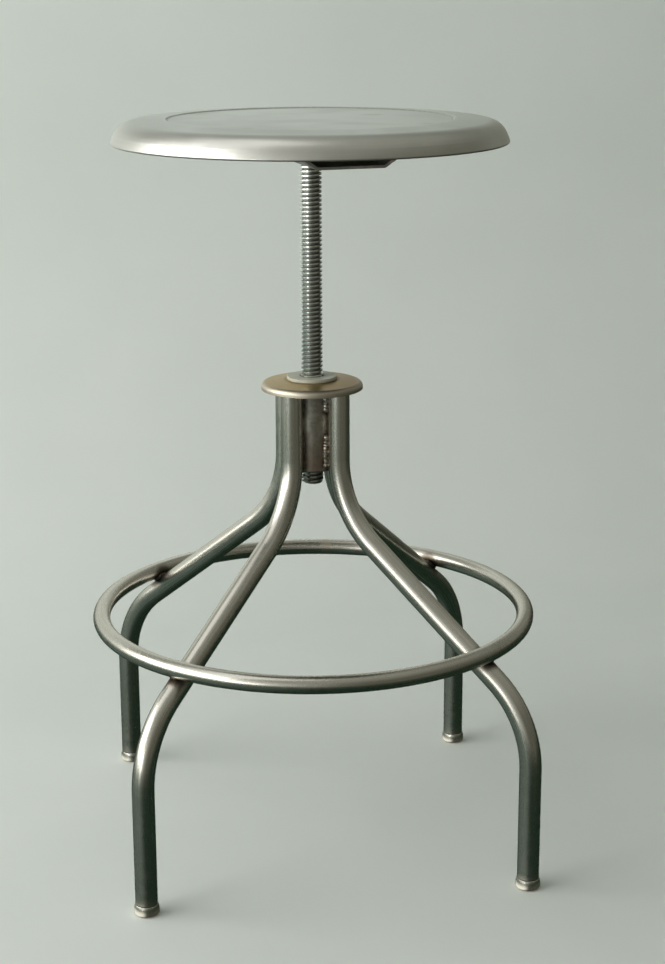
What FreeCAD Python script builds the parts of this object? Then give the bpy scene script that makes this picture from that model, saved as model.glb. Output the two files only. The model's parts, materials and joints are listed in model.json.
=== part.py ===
import FreeCAD, Part
import math
import os

import Sketcher
from FreeCAD import Placement, Rotation, Vector

# A height-adjustable laboratory stool. Millimetres, +Z up, origin on the floor
# on the axis of the spindle, legs at 45 degrees to X and Y, -Y the front.
# The seat, its channel and the spindle turn together in a fixed threaded hub.

doc = FreeCAD.newDocument("lab_stool")
sheet = doc.addObject("Spreadsheet::Sheet", "Sizes")

# Alias and value. Radii, lengths and heights above the floor in millimetres,
# angles, slopes and turns in degrees.
DIMENSIONS = [
    # gap left between stacked parts so that they don't merge
    ("contact_gap", 0.05),
    # seat pan, a pressed sheet dish turned upside down
    ("seat_rim_radius", 178.6),
    ("seat_rim_height", 660.0),
    ("seat_sheet", 1.2),
    ("seat_disc_radius", 127.6),
    ("seat_crease_radius", 129.6),
    ("seat_disc_drop", 1.0),
    ("seat_annulus_slope", 3.5),
    ("seat_shoulder_radius", 18.867),
    ("seat_skirt_radius", 50.0),
    ("seat_skirt_low_angle", 17.0),
    ("seat_skirt_high_angle", 26.0),
    ("seat_hem_radius", 1.5),
    ("seat_hem_close_angle", 140.0),
    ("seat_hem_blend_angle", 21.0),
    # hat channel that carries the seat
    ("channel_turn", 8.75),
    ("channel_base_height", 648.0),
    ("channel_depth", 31.3),
    ("channel_sheet", 2.5),
    ("channel_half_base", 30.0),
    ("channel_rise_angle", 33.7),
    ("channel_half_width", 88.0),
    ("channel_half_length", 125.0),
    ("channel_trim_radius", 146.0),
    ("channel_bend_radius", 4.0),
    # studs, washers and nuts that fix the channel to the seat
    ("stud_radius", 3.0),
    ("stud_length", 12.0),
    ("stud_hole_radius", 3.3),
    ("stud_offset_across", 81.0),
    ("stud_offset_along", 86.0),
    ("stud_washer_radius", 6.2),
    ("stud_washer_thick", 1.2),
    ("stud_nut_flats", 10.0),
    ("stud_nut_thick", 5.0),
    ("stud_nut_turn_step", 17.0),
    ("nut_bore_play", 0.05),
    # spindle, trapezoidal thread 20 x 4
    ("spindle_radius", 10.0),
    ("spindle_core_radius", 7.75),
    ("spindle_bottom", 344.0),
    ("thread_pitch", 4.0),
    ("thread_mid_radius", 9.0),
    ("thread_flank_angle", 15.0),
    ("thread_lead_turns", 1.5),
    ("spindle_groove_turns", 79),
    ("spindle_groove_overshoot", 0.4),
    ("hub_groove_delay_turns", 4),
    ("hub_groove_turns", 12),
    ("hub_groove_overshoot", 0.55),
    ("spindle_chamfer", 1.5),
    ("spindle_stub_radius", 8.0),
    ("spindle_stub_length", 26.0),
    ("spindle_stub_chamfer", 1.0),
    ("stop_pin_radius", 2.0),
    ("stop_pin_length", 19.8),
    ("stop_pin_height", 350.0),
    ("pin_play", 0.02),
    # nut and washers at the top of the spindle, inside the channel
    ("top_washer_radius", 15.0),
    ("top_washer_thick", 3.0),
    ("lock_washer_radius", 12.4),
    ("lock_washer_thick", 3.4),
    ("lock_slit_start", 6.0),
    ("lock_slit_length", 10.0),
    ("lock_slit_width", 1.4),
    ("lock_slit_tilt", 20.0),
    ("top_nut_flats", 24.0),
    ("top_nut_thick", 13.0),
    ("top_nut_turn", 11.0),
    ("top_nut_face_inset", 0.4),
    ("top_nut_chamfer_reach", 2.4),
    ("top_nut_chamfer_angle", 30.0),
    ("stub_play", 0.25),
    # threaded hub
    ("hub_radius", 21.0),
    ("hub_bottom", 358.0),
    ("hub_shoulder", 441.45),
    ("hub_spigot_radius", 14.0),
    ("hub_spigot_top", 442.9),
    ("hub_mouth_radius", 10.8),
    ("hub_thread_bottom", 362.0),
    ("hub_thread_top", 402.0),
    ("hub_thread_taper", 2.0),
    ("hub_minor_radius", 8.15),
    ("hub_major_radius", 10.35),
    ("hub_relief_radius", 10.6),
    ("hub_bushing_seat", 427.0),
    ("hub_counterbore_radius", 12.65),
    ("hub_chamfer", 1.2),
    ("thread_play", 0.3),
    # collar cap over the leg tops
    ("cap_radius", 47.15),
    ("cap_top", 443.0),
    ("cap_edge", 434.3),
    ("cap_sheet", 1.5),
    ("cap_rim_round", 4.6),
    ("cap_dome_slope", 6.0),
    ("cap_dome_run", 19.0),
    ("cap_hole_radius", 14.1),
    # guide bushing
    ("bushing_flange_radius", 23.3),
    ("bushing_flange_thick", 3.2),
    ("bushing_flange_chamfer", 0.4),
    ("bushing_sleeve_radius", 12.5),
    ("bushing_sleeve_length", 15.0),
    ("bushing_bore_radius", 10.15),
    ("bushing_bore_chamfer", 0.8),
    ("bushing_round", 1.2),
    ("bushing_lift", 0.12),
    # legs; the slope is measured from the vertical
    ("leg_tube_radius", 10.0),
    ("leg_tube_wall", 1.5),
    ("leg_top_radius", 31.05),
    ("leg_top_height", 436.5),
    ("leg_foot_radius", 245.0),
    ("leg_upper_bend", 370.4),
    ("leg_bend_radius", 95.0),
    ("leg_slope", 53.3),
    ("leg_end_height", 10.8),
    ("leg_turn", 45.0),
    # foot ring
    ("ring_radius", 201.5),
    ("ring_height", 218.19),
    ("ring_tube_radius", 8.0),
    ("ring_tube_wall", 1.5),
    # feet
    ("ferrule_radius", 11.4),
    ("ferrule_top_radius", 10.45),
    ("ferrule_crown_radius", 24.1),
    ("ferrule_bore_radius", 9.75),
    ("ferrule_height", 10.0),
    ("ferrule_wall", 1.1),
    ("ferrule_round", 3.0),
    ("ferrule_bore_round", 1.2),
    ("ferrule_lip_chamfer", 0.3),
    ("insert_body_radius", 8.42),
    ("insert_neck_radius", 9.5),
    ("insert_neck_chamfer", 1.2),
    ("insert_top", 32.0),
    ("insert_top_chamfer", 1.0),
    ("insert_play", 0.08),
    # weld beads
    ("hub_bead_radius", 3.2),
    ("hub_bead_bite", 1.9),
    ("hub_bead_low_from", 364.0),
    ("hub_bead_low_to", 392.0),
    ("hub_bead_high_from", 416.0),
    ("hub_bead_high_to", 432.0),
    ("ring_bead_along", 7.6),
    ("ring_bead_across", 8.6),
    ("ring_bead_thick", 4.6),
]

# Legs, each with its direction as a multiple of leg_turn.
LEGS = (("rear_right", 1), ("rear_left", 3), ("front_left", 5), ("front_right", 7))

# Signs of X and Y of the four studs.
STUD_CORNERS = ((1, 1), (-1, 1), (-1, -1), (1, -1))


# ------------------------------------------------ sizes that carry formulas
class Size:
    """A length or angle that knows both its value and its formula in the sheet."""

    def __init__(self, text, value):
        self.text = text
        self.value = float(value)

    def __add__(self, other):
        other = size(other)
        return Size("(%s + %s)" % (self.text, other.text), self.value + other.value)

    def __radd__(self, other):
        return size(other) + self

    def __sub__(self, other):
        other = size(other)
        return Size("(%s - %s)" % (self.text, other.text), self.value - other.value)

    def __rsub__(self, other):
        return size(other) - self

    def __mul__(self, other):
        other = size(other)
        return Size("%s * %s" % (self.text, other.text), self.value * other.value)

    def __rmul__(self, other):
        return size(other) * self

    def __truediv__(self, other):
        other = size(other)
        return Size("%s / (%s)" % (self.text, other.text), self.value / other.value)

    def __neg__(self):
        return Size("(0 - %s)" % self.text, -self.value)


def size(value):
    return value if isinstance(value, Size) else Size("%.6f" % value, value)


def sind(angle):
    return Size("sin(%s * 1 deg)" % angle.text, math.sin(math.radians(angle.value)))


def cosd(angle):
    return Size("cos(%s * 1 deg)" % angle.text, math.cos(math.radians(angle.value)))


def tand(angle):
    return Size("tan(%s * 1 deg)" % angle.text, math.tan(math.radians(angle.value)))


def root(square):
    return Size("sqrt(%s)" % square.text, math.sqrt(square.value))


class Dimensions:
    """Holds one Size for each alias of the sheet."""


dim = Dimensions()
sheet.set("A1", "dimension")
sheet.set("B1", "mm or degrees")
for row, (alias, number) in enumerate(DIMENSIONS, start=2):
    sheet.set("A%d" % row, alias.replace("_", " "))
    sheet.set("B%d" % row, "%g" % number)
    sheet.setAlias("B%d" % row, alias)
    setattr(dim, alias, Size("Sizes." + alias, number))
doc.recompute()


# ----------------------------------------------------------------- sketches
def new_body(name, label=None):
    body = doc.addObject("PartDesign::Body", name)
    if label:
        body.Label = label
    return body


def new_sketch(body, name, role, height=None):
    """A sketch on one of the body's origin planes, raised by height if given."""
    plane = next(item for item in body.Origin.OriginFeatures if item.Role == role)
    sketch = body.newObject("Sketcher::SketchObject", name)
    sketch.AttachmentSupport = [(plane, "")]
    sketch.MapMode = "FlatFace"
    if height is not None:
        sketch.AttachmentOffset = Placement(Vector(0, 0, height.value), Rotation())
        sketch.setExpression("AttachmentOffset.Base.z", height.text)
    return sketch


def pin_point(sketch, geometry, end, x, y):
    """Hold one point of a sketch at sheet-driven coordinates."""
    for kind, place, axis in (("DistanceX", size(x), -2), ("DistanceY", size(y), -1)):
        if abs(place.value) < 1e-9:
            sketch.addConstraint(
                Sketcher.Constraint("PointOnObject", geometry, end, axis)
            )
        else:
            index = sketch.addConstraint(
                Sketcher.Constraint(kind, -1, 1, geometry, end, place.value)
            )
            sketch.setExpression("Constraints[%d]" % index, place.text)


def fix_radius(sketch, geometry, radius):
    index = sketch.addConstraint(Sketcher.Constraint("Radius", geometry, radius.value))
    sketch.setExpression("Constraints[%d]" % index, radius.text)


def add_arc(sketch, start, end, radius, side):
    """An arc from start to end. Returns its number and its first and last point."""
    chord = end - start
    half_chord = chord.Length / 2
    reach = math.sqrt(max(radius.value**2 - half_chord**2, 0.0))
    left = Vector(-chord.y, chord.x, 0).normalize()
    centre = (start + end) * 0.5 + left * (reach * side)
    start_angle = math.atan2(start.y - centre.y, start.x - centre.x)
    end_angle = math.atan2(end.y - centre.y, end.x - centre.x)
    circle = Part.Circle(centre, Vector(0, 0, 1), radius.value)
    # sketch arcs run anticlockwise, so a right turn is drawn backwards
    if side > 0:
        arc = Part.ArcOfCircle(circle, start_angle, end_angle)
        first, last = 1, 2
    else:
        arc = Part.ArcOfCircle(circle, end_angle, start_angle)
        first, last = 2, 1
    geometry = sketch.addGeometry(arc, False)
    fix_radius(sketch, geometry, radius)
    return geometry, first, last


def outline(sketch, points, arcs=None, closed=True):
    """A chain of lines and arcs through points. arcs maps a segment's number to
    (radius, side), side +1 for an arc that turns left on its way."""
    arcs = arcs or {}
    count = len(points) if closed else len(points) - 1
    places = [Vector(size(x).value, size(y).value, 0) for x, y in points]
    segments = []
    for n in range(count):
        start, end = places[n], places[(n + 1) % len(places)]
        if n in arcs:
            radius, side = arcs[n]
            segments.append(add_arc(sketch, start, end, radius, side))
        else:
            line = sketch.addGeometry(Part.LineSegment(start, end), False)
            segments.append((line, 1, 2))
    for n in range(count if closed else count - 1):
        geometry, _, last = segments[n]
        following, first, _ = segments[(n + 1) % count]
        sketch.addConstraint(
            Sketcher.Constraint("Coincident", geometry, last, following, first)
        )
    for n in range(count):
        pin_point(sketch, segments[n][0], segments[n][1], *points[n])
    if not closed:
        pin_point(sketch, segments[-1][0], segments[-1][2], *points[-1])


def add_circle(sketch, radius, x, y):
    centre = Vector(size(x).value, size(y).value, 0)
    geometry = sketch.addGeometry(
        Part.Circle(centre, Vector(0, 0, 1), radius.value), False
    )
    fix_radius(sketch, geometry, radius)
    pin_point(sketch, geometry, 3, x, y)


def turned(name, points, arcs=None, label=None):
    """A body of revolution about Z from its half section in X and Z."""
    body = new_body(name, label)
    sketch = new_sketch(body, name + "_section", "XZ_Plane")
    outline(sketch, points, arcs)
    revolution = body.newObject("PartDesign::Revolution", name + "_turn")
    revolution.Profile = sketch
    revolution.ReferenceAxis = (sketch, ["V_Axis"])
    revolution.Angle = 360.0
    doc.recompute()
    return body


# ------------------------------------------------------ solids and booleans
def bind(obj, **sizes):
    """Drive properties of an object from the sheet."""
    for name, value in sizes.items():
        obj.setExpression(name, size(value).text)


def place(obj, x, y, z, rotation=None):
    """Put an object at a sheet-driven place."""
    x, y, z = size(x), size(y), size(z)
    obj.Placement = Placement(Vector(x.value, y.value, z.value), rotation or Rotation())
    for axis, value in zip("xyz", (x, y, z)):
        obj.setExpression("Placement.Base." + axis, value.text)


def about_z(angle):
    return Rotation(Vector(0, 0, 1), angle.value)


def turn_about_z(obj, angle):
    obj.Placement = Placement(Vector(0, 0, 0), about_z(angle))
    obj.setExpression("Placement.Rotation.Angle", angle.text + " * 1 deg")


def cylinder(name, radius, length, x=0, y=0, z=0, lean=None):
    rod = doc.addObject("Part::Cylinder", name)
    bind(rod, Radius=radius, Height=length)
    place(rod, x, y, z, lean)
    return rod


def hexagon(name, flats, thick, x, y, z, turn):
    """A hexagonal prism, flats being the distance between opposite sides."""
    prism = doc.addObject("Part::Prism", name)
    prism.Polygon = 6
    bind(prism, Circumradius=flats / (2 * cosd(size(30))), Height=thick)
    place(prism, x, y, z, about_z(turn))
    return prism


def ring_torus(name, tube_radius):
    """A torus on the centre line of the foot ring."""
    torus = doc.addObject("Part::Torus", name)
    bind(torus, Radius1=dim.ring_radius, Radius2=tube_radius)
    place(torus, 0, 0, dim.ring_height)
    return torus


def boolean(kind, name, base, tool, label=None):
    result = doc.addObject(kind, name)
    result.Base, result.Tool = base, tool
    if label:
        result.Label = label
    return result


def cut(name, base, tool, label=None):
    return boolean("Part::Cut", name, base, tool, label)


def common(name, base, tool, label=None):
    return boolean("Part::Common", name, base, tool, label)


def fuse(name, items):
    result = doc.addObject("Part::MultiFuse", name)
    result.Shapes = items
    return result


def group(items, label):
    compound = doc.addObject("Part::Compound", label + "_group")
    compound.Links = items
    compound.Label = label
    return compound


# ----------------------------------------------------------------- seat pan
# Half section: flat disc, small pressed step up to the crease, a gently falling
# annulus, a rounded shoulder and a skirt that flares out to the rim. The skirt's
# angles are taken at the centre of its arc, up from the horizontal.
skirt_end_x = dim.seat_rim_radius
skirt_end_z = dim.seat_rim_height + dim.seat_hem_radius * (
    1 + sind(dim.seat_skirt_low_angle)
)
skirt_centre_x = skirt_end_x - dim.seat_skirt_radius * cosd(dim.seat_skirt_low_angle)
skirt_centre_z = skirt_end_z - dim.seat_skirt_radius * sind(dim.seat_skirt_low_angle)
centre_gap = dim.seat_skirt_radius - dim.seat_shoulder_radius
shoulder_centre_x = skirt_centre_x + centre_gap * cosd(dim.seat_skirt_high_angle)
shoulder_centre_z = skirt_centre_z + centre_gap * sind(dim.seat_skirt_high_angle)


def skirt_point(inset, angle):
    radius = dim.seat_skirt_radius - inset
    return skirt_centre_x + radius * cosd(angle), skirt_centre_z + radius * sind(angle)


def seat_line(inset):
    """The outer line of the seat from the axis to the rim, or the line inset
    from it."""
    shoulder = dim.seat_shoulder_radius - inset
    annulus_end_x = shoulder_centre_x + shoulder * sind(dim.seat_annulus_slope)
    annulus_end_z = shoulder_centre_z + shoulder * cosd(dim.seat_annulus_slope)
    crease_x = dim.seat_crease_radius
    crease_z = annulus_end_z + (annulus_end_x - crease_x) * tand(dim.seat_annulus_slope)
    disc_z = crease_z - dim.seat_disc_drop
    return [
        (0, disc_z),
        (dim.seat_disc_radius, disc_z),
        (crease_x, crease_z),
        (annulus_end_x, annulus_end_z),
        skirt_point(inset, dim.seat_skirt_high_angle),
        skirt_point(inset, dim.seat_skirt_low_angle),
    ]


seat_outside = seat_line(size(0))
seat_inside = seat_line(dim.seat_sheet)
seat_underside = seat_inside[0][1]


def build_seat_pan():
    # the rim is rolled inwards into a small round hem that closes on the skirt
    hem = dim.seat_hem_radius
    hem_x = skirt_end_x - hem * cosd(dim.seat_skirt_low_angle)
    hem_z = skirt_end_z - hem * sind(dim.seat_skirt_low_angle)
    close = dim.seat_hem_close_angle
    hem_points = [
        (hem_x, hem_z - hem),
        (hem_x + hem * cosd(close), hem_z + hem * sind(close)),
        skirt_point(dim.seat_sheet, dim.seat_hem_blend_angle),
    ]
    pan = turned(
        "seat",
        seat_outside + hem_points + seat_inside[:-1][::-1],
        arcs={
            3: (dim.seat_shoulder_radius, -1),
            4: (dim.seat_skirt_radius, -1),
            5: (hem, -1),
            6: (hem, -1),
            8: (dim.seat_skirt_radius - dim.seat_sheet, 1),
            9: (dim.seat_shoulder_radius - dim.seat_sheet, 1),
        },
        label="seat_pan",
    )
    turn_about_z(pan, dim.channel_turn)
    return pan


# -------------------------------------------------------------- hat channel
channel_base = dim.channel_base_height
channel_top = channel_base + dim.channel_depth
flange_under = channel_top - dim.channel_sheet


def long_edges(shape, places):
    """Edges along Y through the given X, Z places, on both sides of the axis."""
    shortest, tolerance = 200, 0.05
    found = []
    for n, edge in enumerate(shape.Edges, start=1):
        middle = edge.CenterOfMass
        if edge.Length < shortest:
            continue
        for x, z in places:
            if (
                abs(abs(middle.x) - x.value) < tolerance
                and abs(middle.z - z.value) < tolerance
            ):
                found.append("Edge%d" % n)
    return found


def fillet_bends(body, name, base, places, radius):
    fillet = body.newObject("PartDesign::Fillet", name)
    fillet.Base = (base, long_edges(base.Shape, places))
    bind(fillet, Radius=radius)
    doc.recompute()
    return fillet


def build_channel():
    mitre = dim.channel_sheet * tand(dim.channel_rise_angle / 2)
    base_low = (dim.channel_half_base, channel_base)
    base_high = (dim.channel_half_base - mitre, channel_base + dim.channel_sheet)
    rise_run = (flange_under - channel_base) / tand(dim.channel_rise_angle)
    knee_x = dim.channel_half_base + rise_run
    knee_low = (knee_x, flange_under)
    knee_high = (knee_x - mitre, channel_top)
    half = [
        base_low,
        knee_low,
        (dim.channel_half_width, flange_under),
        (dim.channel_half_width, channel_top),
        knee_high,
        base_high,
    ]
    body = new_body("channel")
    sketch = new_sketch(body, "channel_section", "XZ_Plane")
    outline(sketch, half + [(-x, z) for x, z in half[::-1]])
    pad = body.newObject("PartDesign::Pad", "channel_pad")
    pad.Profile = sketch
    bind(pad, Length=2 * dim.channel_half_length)
    pad.Midplane = True
    doc.recompute()

    outer_radius = dim.channel_bend_radius
    inner_radius = outer_radius - dim.channel_sheet
    bends = fillet_bends(
        body, "channel_bend_outside", pad, [base_low, knee_high], outer_radius
    )
    fillet_bends(body, "channel_bend_inside", bends, [base_high, knee_low], inner_radius)

    # the ends are trimmed round, with a cutter taller than the channel
    trim = cylinder(
        "channel_trim", dim.channel_trim_radius, size(60), z=channel_base - 10
    )
    trimmed = common("channel_trimmed", body, trim)

    drill_length = size(10)
    drills = [
        cylinder(
            "channel_hole_centre",
            dim.spindle_stub_radius + dim.stub_play,
            drill_length,
            z=channel_base - 4,
        )
    ]
    for n, (side_x, side_y) in enumerate(STUD_CORNERS):
        drills.append(
            cylinder(
                "channel_hole_%d" % n,
                dim.stud_hole_radius,
                drill_length,
                side_x * dim.stud_offset_across,
                side_y * dim.stud_offset_along,
                channel_top - 6,
            )
        )
    channel = cut(
        "channel_solid", trimmed, fuse("channel_holes", drills), "seat_channel"
    )
    turn_about_z(channel, dim.channel_turn)
    return channel


# ------------------------------------- studs, washers and nuts under the seat
def build_stud_sets():
    """Three groups, each of four parts at the corners of the channel."""
    washer_z = flange_under - dim.contact_gap - dim.stud_washer_thick
    nut_z = washer_z - dim.contact_gap - dim.stud_nut_thick
    # drills reach past both faces of a washer or a nut
    drill_z, drill_length = flange_under - 14, size(20)
    studs, washers, nuts = [], [], []
    for n, (side_x, side_y) in enumerate(STUD_CORNERS):
        x, y = side_x * dim.stud_offset_across, side_y * dim.stud_offset_along
        stud_z = seat_underside - dim.contact_gap - dim.stud_length
        studs.append(
            cylinder("stud_%d" % n, dim.stud_radius, dim.stud_length, x, y, stud_z)
        )
        disc = cylinder(
            "stud_washer_out_%d" % n,
            dim.stud_washer_radius,
            dim.stud_washer_thick,
            x,
            y,
            washer_z,
        )
        hole = cylinder(
            "stud_washer_in_%d" % n, dim.stud_hole_radius, drill_length, x, y, drill_z
        )
        washers.append(cut("stud_washer_%d" % n, disc, hole))
        prism = hexagon(
            "stud_nut_out_%d" % n,
            dim.stud_nut_flats,
            dim.stud_nut_thick,
            x,
            y,
            nut_z,
            n * dim.stud_nut_turn_step,
        )
        bore_radius = dim.stud_radius + dim.nut_bore_play
        bore = cylinder("stud_nut_in_%d" % n, bore_radius, drill_length, x, y, drill_z)
        nuts.append(cut("stud_nut_%d" % n, prism, bore))
    groups = [
        group(studs, "seat_studs"),
        group(washers, "seat_stud_washers"),
        group(nuts, "seat_stud_nuts"),
    ]
    for item in groups:
        turn_about_z(item, dim.channel_turn)
    return groups


# ------------------------------------------------------------------- thread
groove_start = dim.spindle_bottom - dim.thread_lead_turns * dim.thread_pitch


def groove_width(radius):
    """The width of the spindle's groove at a radius."""
    flank = tand(dim.thread_flank_angle)
    return dim.thread_pitch / 2 + 2 * (radius - dim.thread_mid_radius) * flank


def ridge_width(radius):
    """The spindle's ridge at a radius, widened by the play on both flanks."""
    return dim.thread_pitch - groove_width(radius) + 2 * dim.thread_play


def thread_sweep(name, start, turns, inner_radius, outer_radius, width_at):
    """The solid that a trapezoidal section sweeps along a right-hand helix."""
    helix = doc.addObject("Part::Helix", name + "_helix")
    helix.SegmentLength = 1.0
    bind(
        helix,
        Pitch=dim.thread_pitch,
        Height=dim.thread_pitch * turns,
        Radius=dim.spindle_radius,
    )
    place(helix, 0, 0, start)
    profile = doc.addObject("Sketcher::SketchObject", name + "_profile")
    place(profile, 0, 0, start, Rotation(Vector(1, 0, 0), 90))
    inner_width, outer_width = width_at(inner_radius), width_at(outer_radius)
    outline(
        profile,
        [
            (inner_radius, -inner_width / 2),
            (outer_radius, -outer_width / 2),
            (outer_radius, outer_width / 2),
            (inner_radius, inner_width / 2),
        ],
    )
    doc.recompute()
    sweep = doc.addObject("Part::Sweep", name)
    sweep.Sections = [profile]
    sweep.Spine = (helix, [])
    sweep.Solid = True
    sweep.Frenet = True
    doc.recompute()
    return sweep


# ------------------------------------------------------ spindle and stop pin
along_x = Rotation(Vector(0, 1, 0), 90)


def build_spindle():
    """A threaded rod with a stub that passes through the channel floor."""
    bottom = dim.spindle_bottom
    shoulder = channel_base - dim.contact_gap
    stub_top = channel_base + dim.spindle_stub_length
    stub_chamfer = dim.spindle_stub_chamfer
    blank = turned(
        "spindle_blank",
        [
            (0, bottom),
            (dim.spindle_radius - dim.spindle_chamfer, bottom),
            (dim.spindle_radius, bottom + dim.spindle_chamfer),
            (dim.spindle_radius, shoulder),
            (dim.spindle_stub_radius, shoulder),
            (dim.spindle_stub_radius, stub_top - stub_chamfer),
            (dim.spindle_stub_radius - stub_chamfer, stub_top),
            (0, stub_top),
        ],
    )
    groove = thread_sweep(
        "spindle_groove",
        groove_start,
        dim.spindle_groove_turns,
        dim.spindle_core_radius,
        dim.spindle_radius + dim.spindle_groove_overshoot,
        groove_width,
    )
    threaded = cut("spindle_threaded", blank, groove)
    cross_hole = cylinder(
        "spindle_cross_hole",
        dim.stop_pin_radius + dim.pin_play,
        size(30),
        x=-15,
        z=dim.stop_pin_height,
        lean=along_x,
    )
    return cut("spindle_solid", threaded, cross_hole, "spindle")


def build_stop_pin():
    pin = cylinder(
        "stop_pin_solid",
        dim.stop_pin_radius,
        dim.stop_pin_length,
        x=-dim.stop_pin_length / 2,
        z=dim.stop_pin_height,
        lean=along_x,
    )
    pin.Label = "stop_pin"
    return pin


# --------------------------------------- fastening at the top of the spindle
top_washer_z = channel_base + dim.channel_sheet + dim.contact_gap
lock_washer_z = top_washer_z + dim.top_washer_thick + dim.contact_gap
top_nut_z = lock_washer_z + dim.lock_washer_thick + dim.contact_gap


def stub_washer(name, radius, thick, bottom, label=None):
    """A flat ring that fits round the spindle's stub."""
    hole_radius = dim.spindle_stub_radius + dim.stub_play
    points = [
        (hole_radius, bottom),
        (radius, bottom),
        (radius, bottom + thick),
        (hole_radius, bottom + thick),
    ]
    return turned(name, points, label=label)


def build_top_washer():
    return stub_washer(
        "top_washer",
        dim.top_washer_radius,
        dim.top_washer_thick,
        top_washer_z,
        "spindle_washer",
    )


def build_lock_washer():
    """A washer split by a tilted slit on its +X side."""
    ring = stub_washer(
        "lock_ring", dim.lock_washer_radius, dim.lock_washer_thick, lock_washer_z
    )
    # the slit's box reaches past both faces of the washer
    slit = doc.addObject("Part::Box", "lock_slit")
    bind(
        slit,
        Length=dim.lock_slit_length,
        Width=dim.lock_slit_width,
        Height=dim.lock_washer_thick + 8,
    )
    tilt = Rotation(Vector(1, 0, 0), dim.lock_slit_tilt.value)
    place(slit, dim.lock_slit_start, 0, lock_washer_z - 3, tilt)
    return cut("lock_washer_solid", ring, slit, "spindle_lock_washer")


def build_top_nut():
    prism = hexagon(
        "top_nut_hexagon",
        dim.top_nut_flats,
        dim.top_nut_thick,
        0,
        0,
        top_nut_z,
        dim.top_nut_turn,
    )
    # both faces are chamfered by a turned solid that also holds the bore
    bore_radius = dim.spindle_stub_radius + dim.nut_bore_play
    face_radius = dim.top_nut_flats / 2 - dim.top_nut_face_inset
    far_radius = dim.top_nut_flats / 2 + dim.top_nut_chamfer_reach
    fall = dim.top_nut_chamfer_reach * tand(dim.top_nut_chamfer_angle)
    nut_top = top_nut_z + dim.top_nut_thick
    lathe = turned(
        "top_nut_lathe",
        [
            (bore_radius, top_nut_z),
            (face_radius, top_nut_z),
            (far_radius, top_nut_z + fall),
            (far_radius, nut_top - fall),
            (face_radius, nut_top),
            (bore_radius, nut_top),
        ],
    )
    return common("top_nut_solid", prism, lathe, "spindle_top_nut")


# ---------------------------------------------------------------------- hub
def build_hub():
    blank = turned(
        "hub_blank",
        [
            (dim.hub_mouth_radius, dim.hub_bottom),
            (dim.hub_radius - dim.hub_chamfer, dim.hub_bottom),
            (dim.hub_radius, dim.hub_bottom + dim.hub_chamfer),
            (dim.hub_radius, dim.hub_shoulder),
            (dim.hub_spigot_radius, dim.hub_shoulder),
            (dim.hub_spigot_radius, dim.hub_spigot_top),
            (dim.hub_counterbore_radius, dim.hub_spigot_top),
            (dim.hub_counterbore_radius, dim.hub_bushing_seat),
            (dim.hub_relief_radius, dim.hub_bushing_seat),
            (dim.hub_relief_radius, dim.hub_thread_top),
            (dim.hub_minor_radius, dim.hub_thread_top - dim.hub_thread_taper),
            (dim.hub_minor_radius, dim.hub_thread_bottom + dim.hub_thread_taper),
            (dim.hub_mouth_radius, dim.hub_thread_bottom),
        ],
    )
    # the hub's grooves take the spindle's ridges, half a pitch from its grooves
    delay = dim.hub_groove_delay_turns * dim.thread_pitch
    groove = thread_sweep(
        "hub_groove",
        groove_start + delay + dim.thread_pitch / 2,
        dim.hub_groove_turns,
        dim.hub_minor_radius - dim.hub_groove_overshoot,
        dim.hub_major_radius,
        ridge_width,
    )
    return cut("hub_solid", blank, groove, "spindle_hub")


# --------------------------------------------------------------- collar cap
def cap_line(inset):
    """The cap's outer line from its hole to its edge, or the line inset from it."""
    radius = dim.cap_rim_round - inset
    top = dim.cap_top - inset
    centre_x = dim.cap_radius - dim.cap_rim_round
    # the dome meets the rim's round at the dome's own slope
    dome_x = centre_x + radius * sind(dim.cap_dome_slope)
    dome_z = top - dim.cap_dome_run * tand(dim.cap_dome_slope)
    edge_x = centre_x + radius
    return [
        (dim.cap_hole_radius, top),
        (dome_x - dim.cap_dome_run, top),
        (dome_x, dome_z),
        (edge_x, dome_z - radius * cosd(dim.cap_dome_slope)),
        (edge_x, dim.cap_edge),
    ]


def build_cap():
    return turned(
        "cap",
        cap_line(size(0)) + cap_line(dim.cap_sheet)[::-1],
        arcs={2: (dim.cap_rim_round, -1), 6: (dim.cap_rim_round - dim.cap_sheet, 1)},
        label="collar_cap",
    )


# ------------------------------------------------------------ guide bushing
def build_bushing():
    flange_z = dim.cap_top + dim.bushing_lift
    top = flange_z + dim.bushing_flange_thick
    bottom = flange_z - dim.bushing_sleeve_length
    flange = dim.bushing_flange_radius
    bore = dim.bushing_bore_radius
    return turned(
        "bushing",
        [
            (bore, bottom),
            (dim.bushing_sleeve_radius, bottom),
            (dim.bushing_sleeve_radius, flange_z),
            (flange - dim.bushing_flange_chamfer, flange_z),
            (flange, flange_z + dim.bushing_flange_chamfer),
            (flange, top - dim.bushing_round),
            (flange - dim.bushing_round, top),
            (bore + dim.bushing_bore_chamfer, top),
            (bore, top - dim.bushing_bore_chamfer),
        ],
        arcs={5: (dim.bushing_round, 1)},
        label="guide_bushing",
    )


# --------------------------------------------------------------------- legs
# Each leg is one bent tube: upright beside the hub, sloping outwards, then
# upright again down to its foot.
bend_x = dim.leg_bend_radius * (1 - cosd(dim.leg_slope))
bend_z = dim.leg_bend_radius * sind(dim.leg_slope)
slope_top_x = dim.leg_top_radius + bend_x
slope_top_z = dim.leg_upper_bend - bend_z
slope_run = dim.leg_foot_radius - dim.leg_top_radius - 2 * bend_x
slope_foot_z = slope_top_z - slope_run / tand(dim.leg_slope)
LEG_PATH = [
    (dim.leg_top_radius, dim.leg_top_height),
    (dim.leg_top_radius, dim.leg_upper_bend),
    (slope_top_x, slope_top_z),
    (dim.leg_foot_radius - bend_x, slope_foot_z),
    (dim.leg_foot_radius, slope_foot_z - bend_z),
    (dim.leg_foot_radius, dim.leg_end_height),
]


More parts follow.
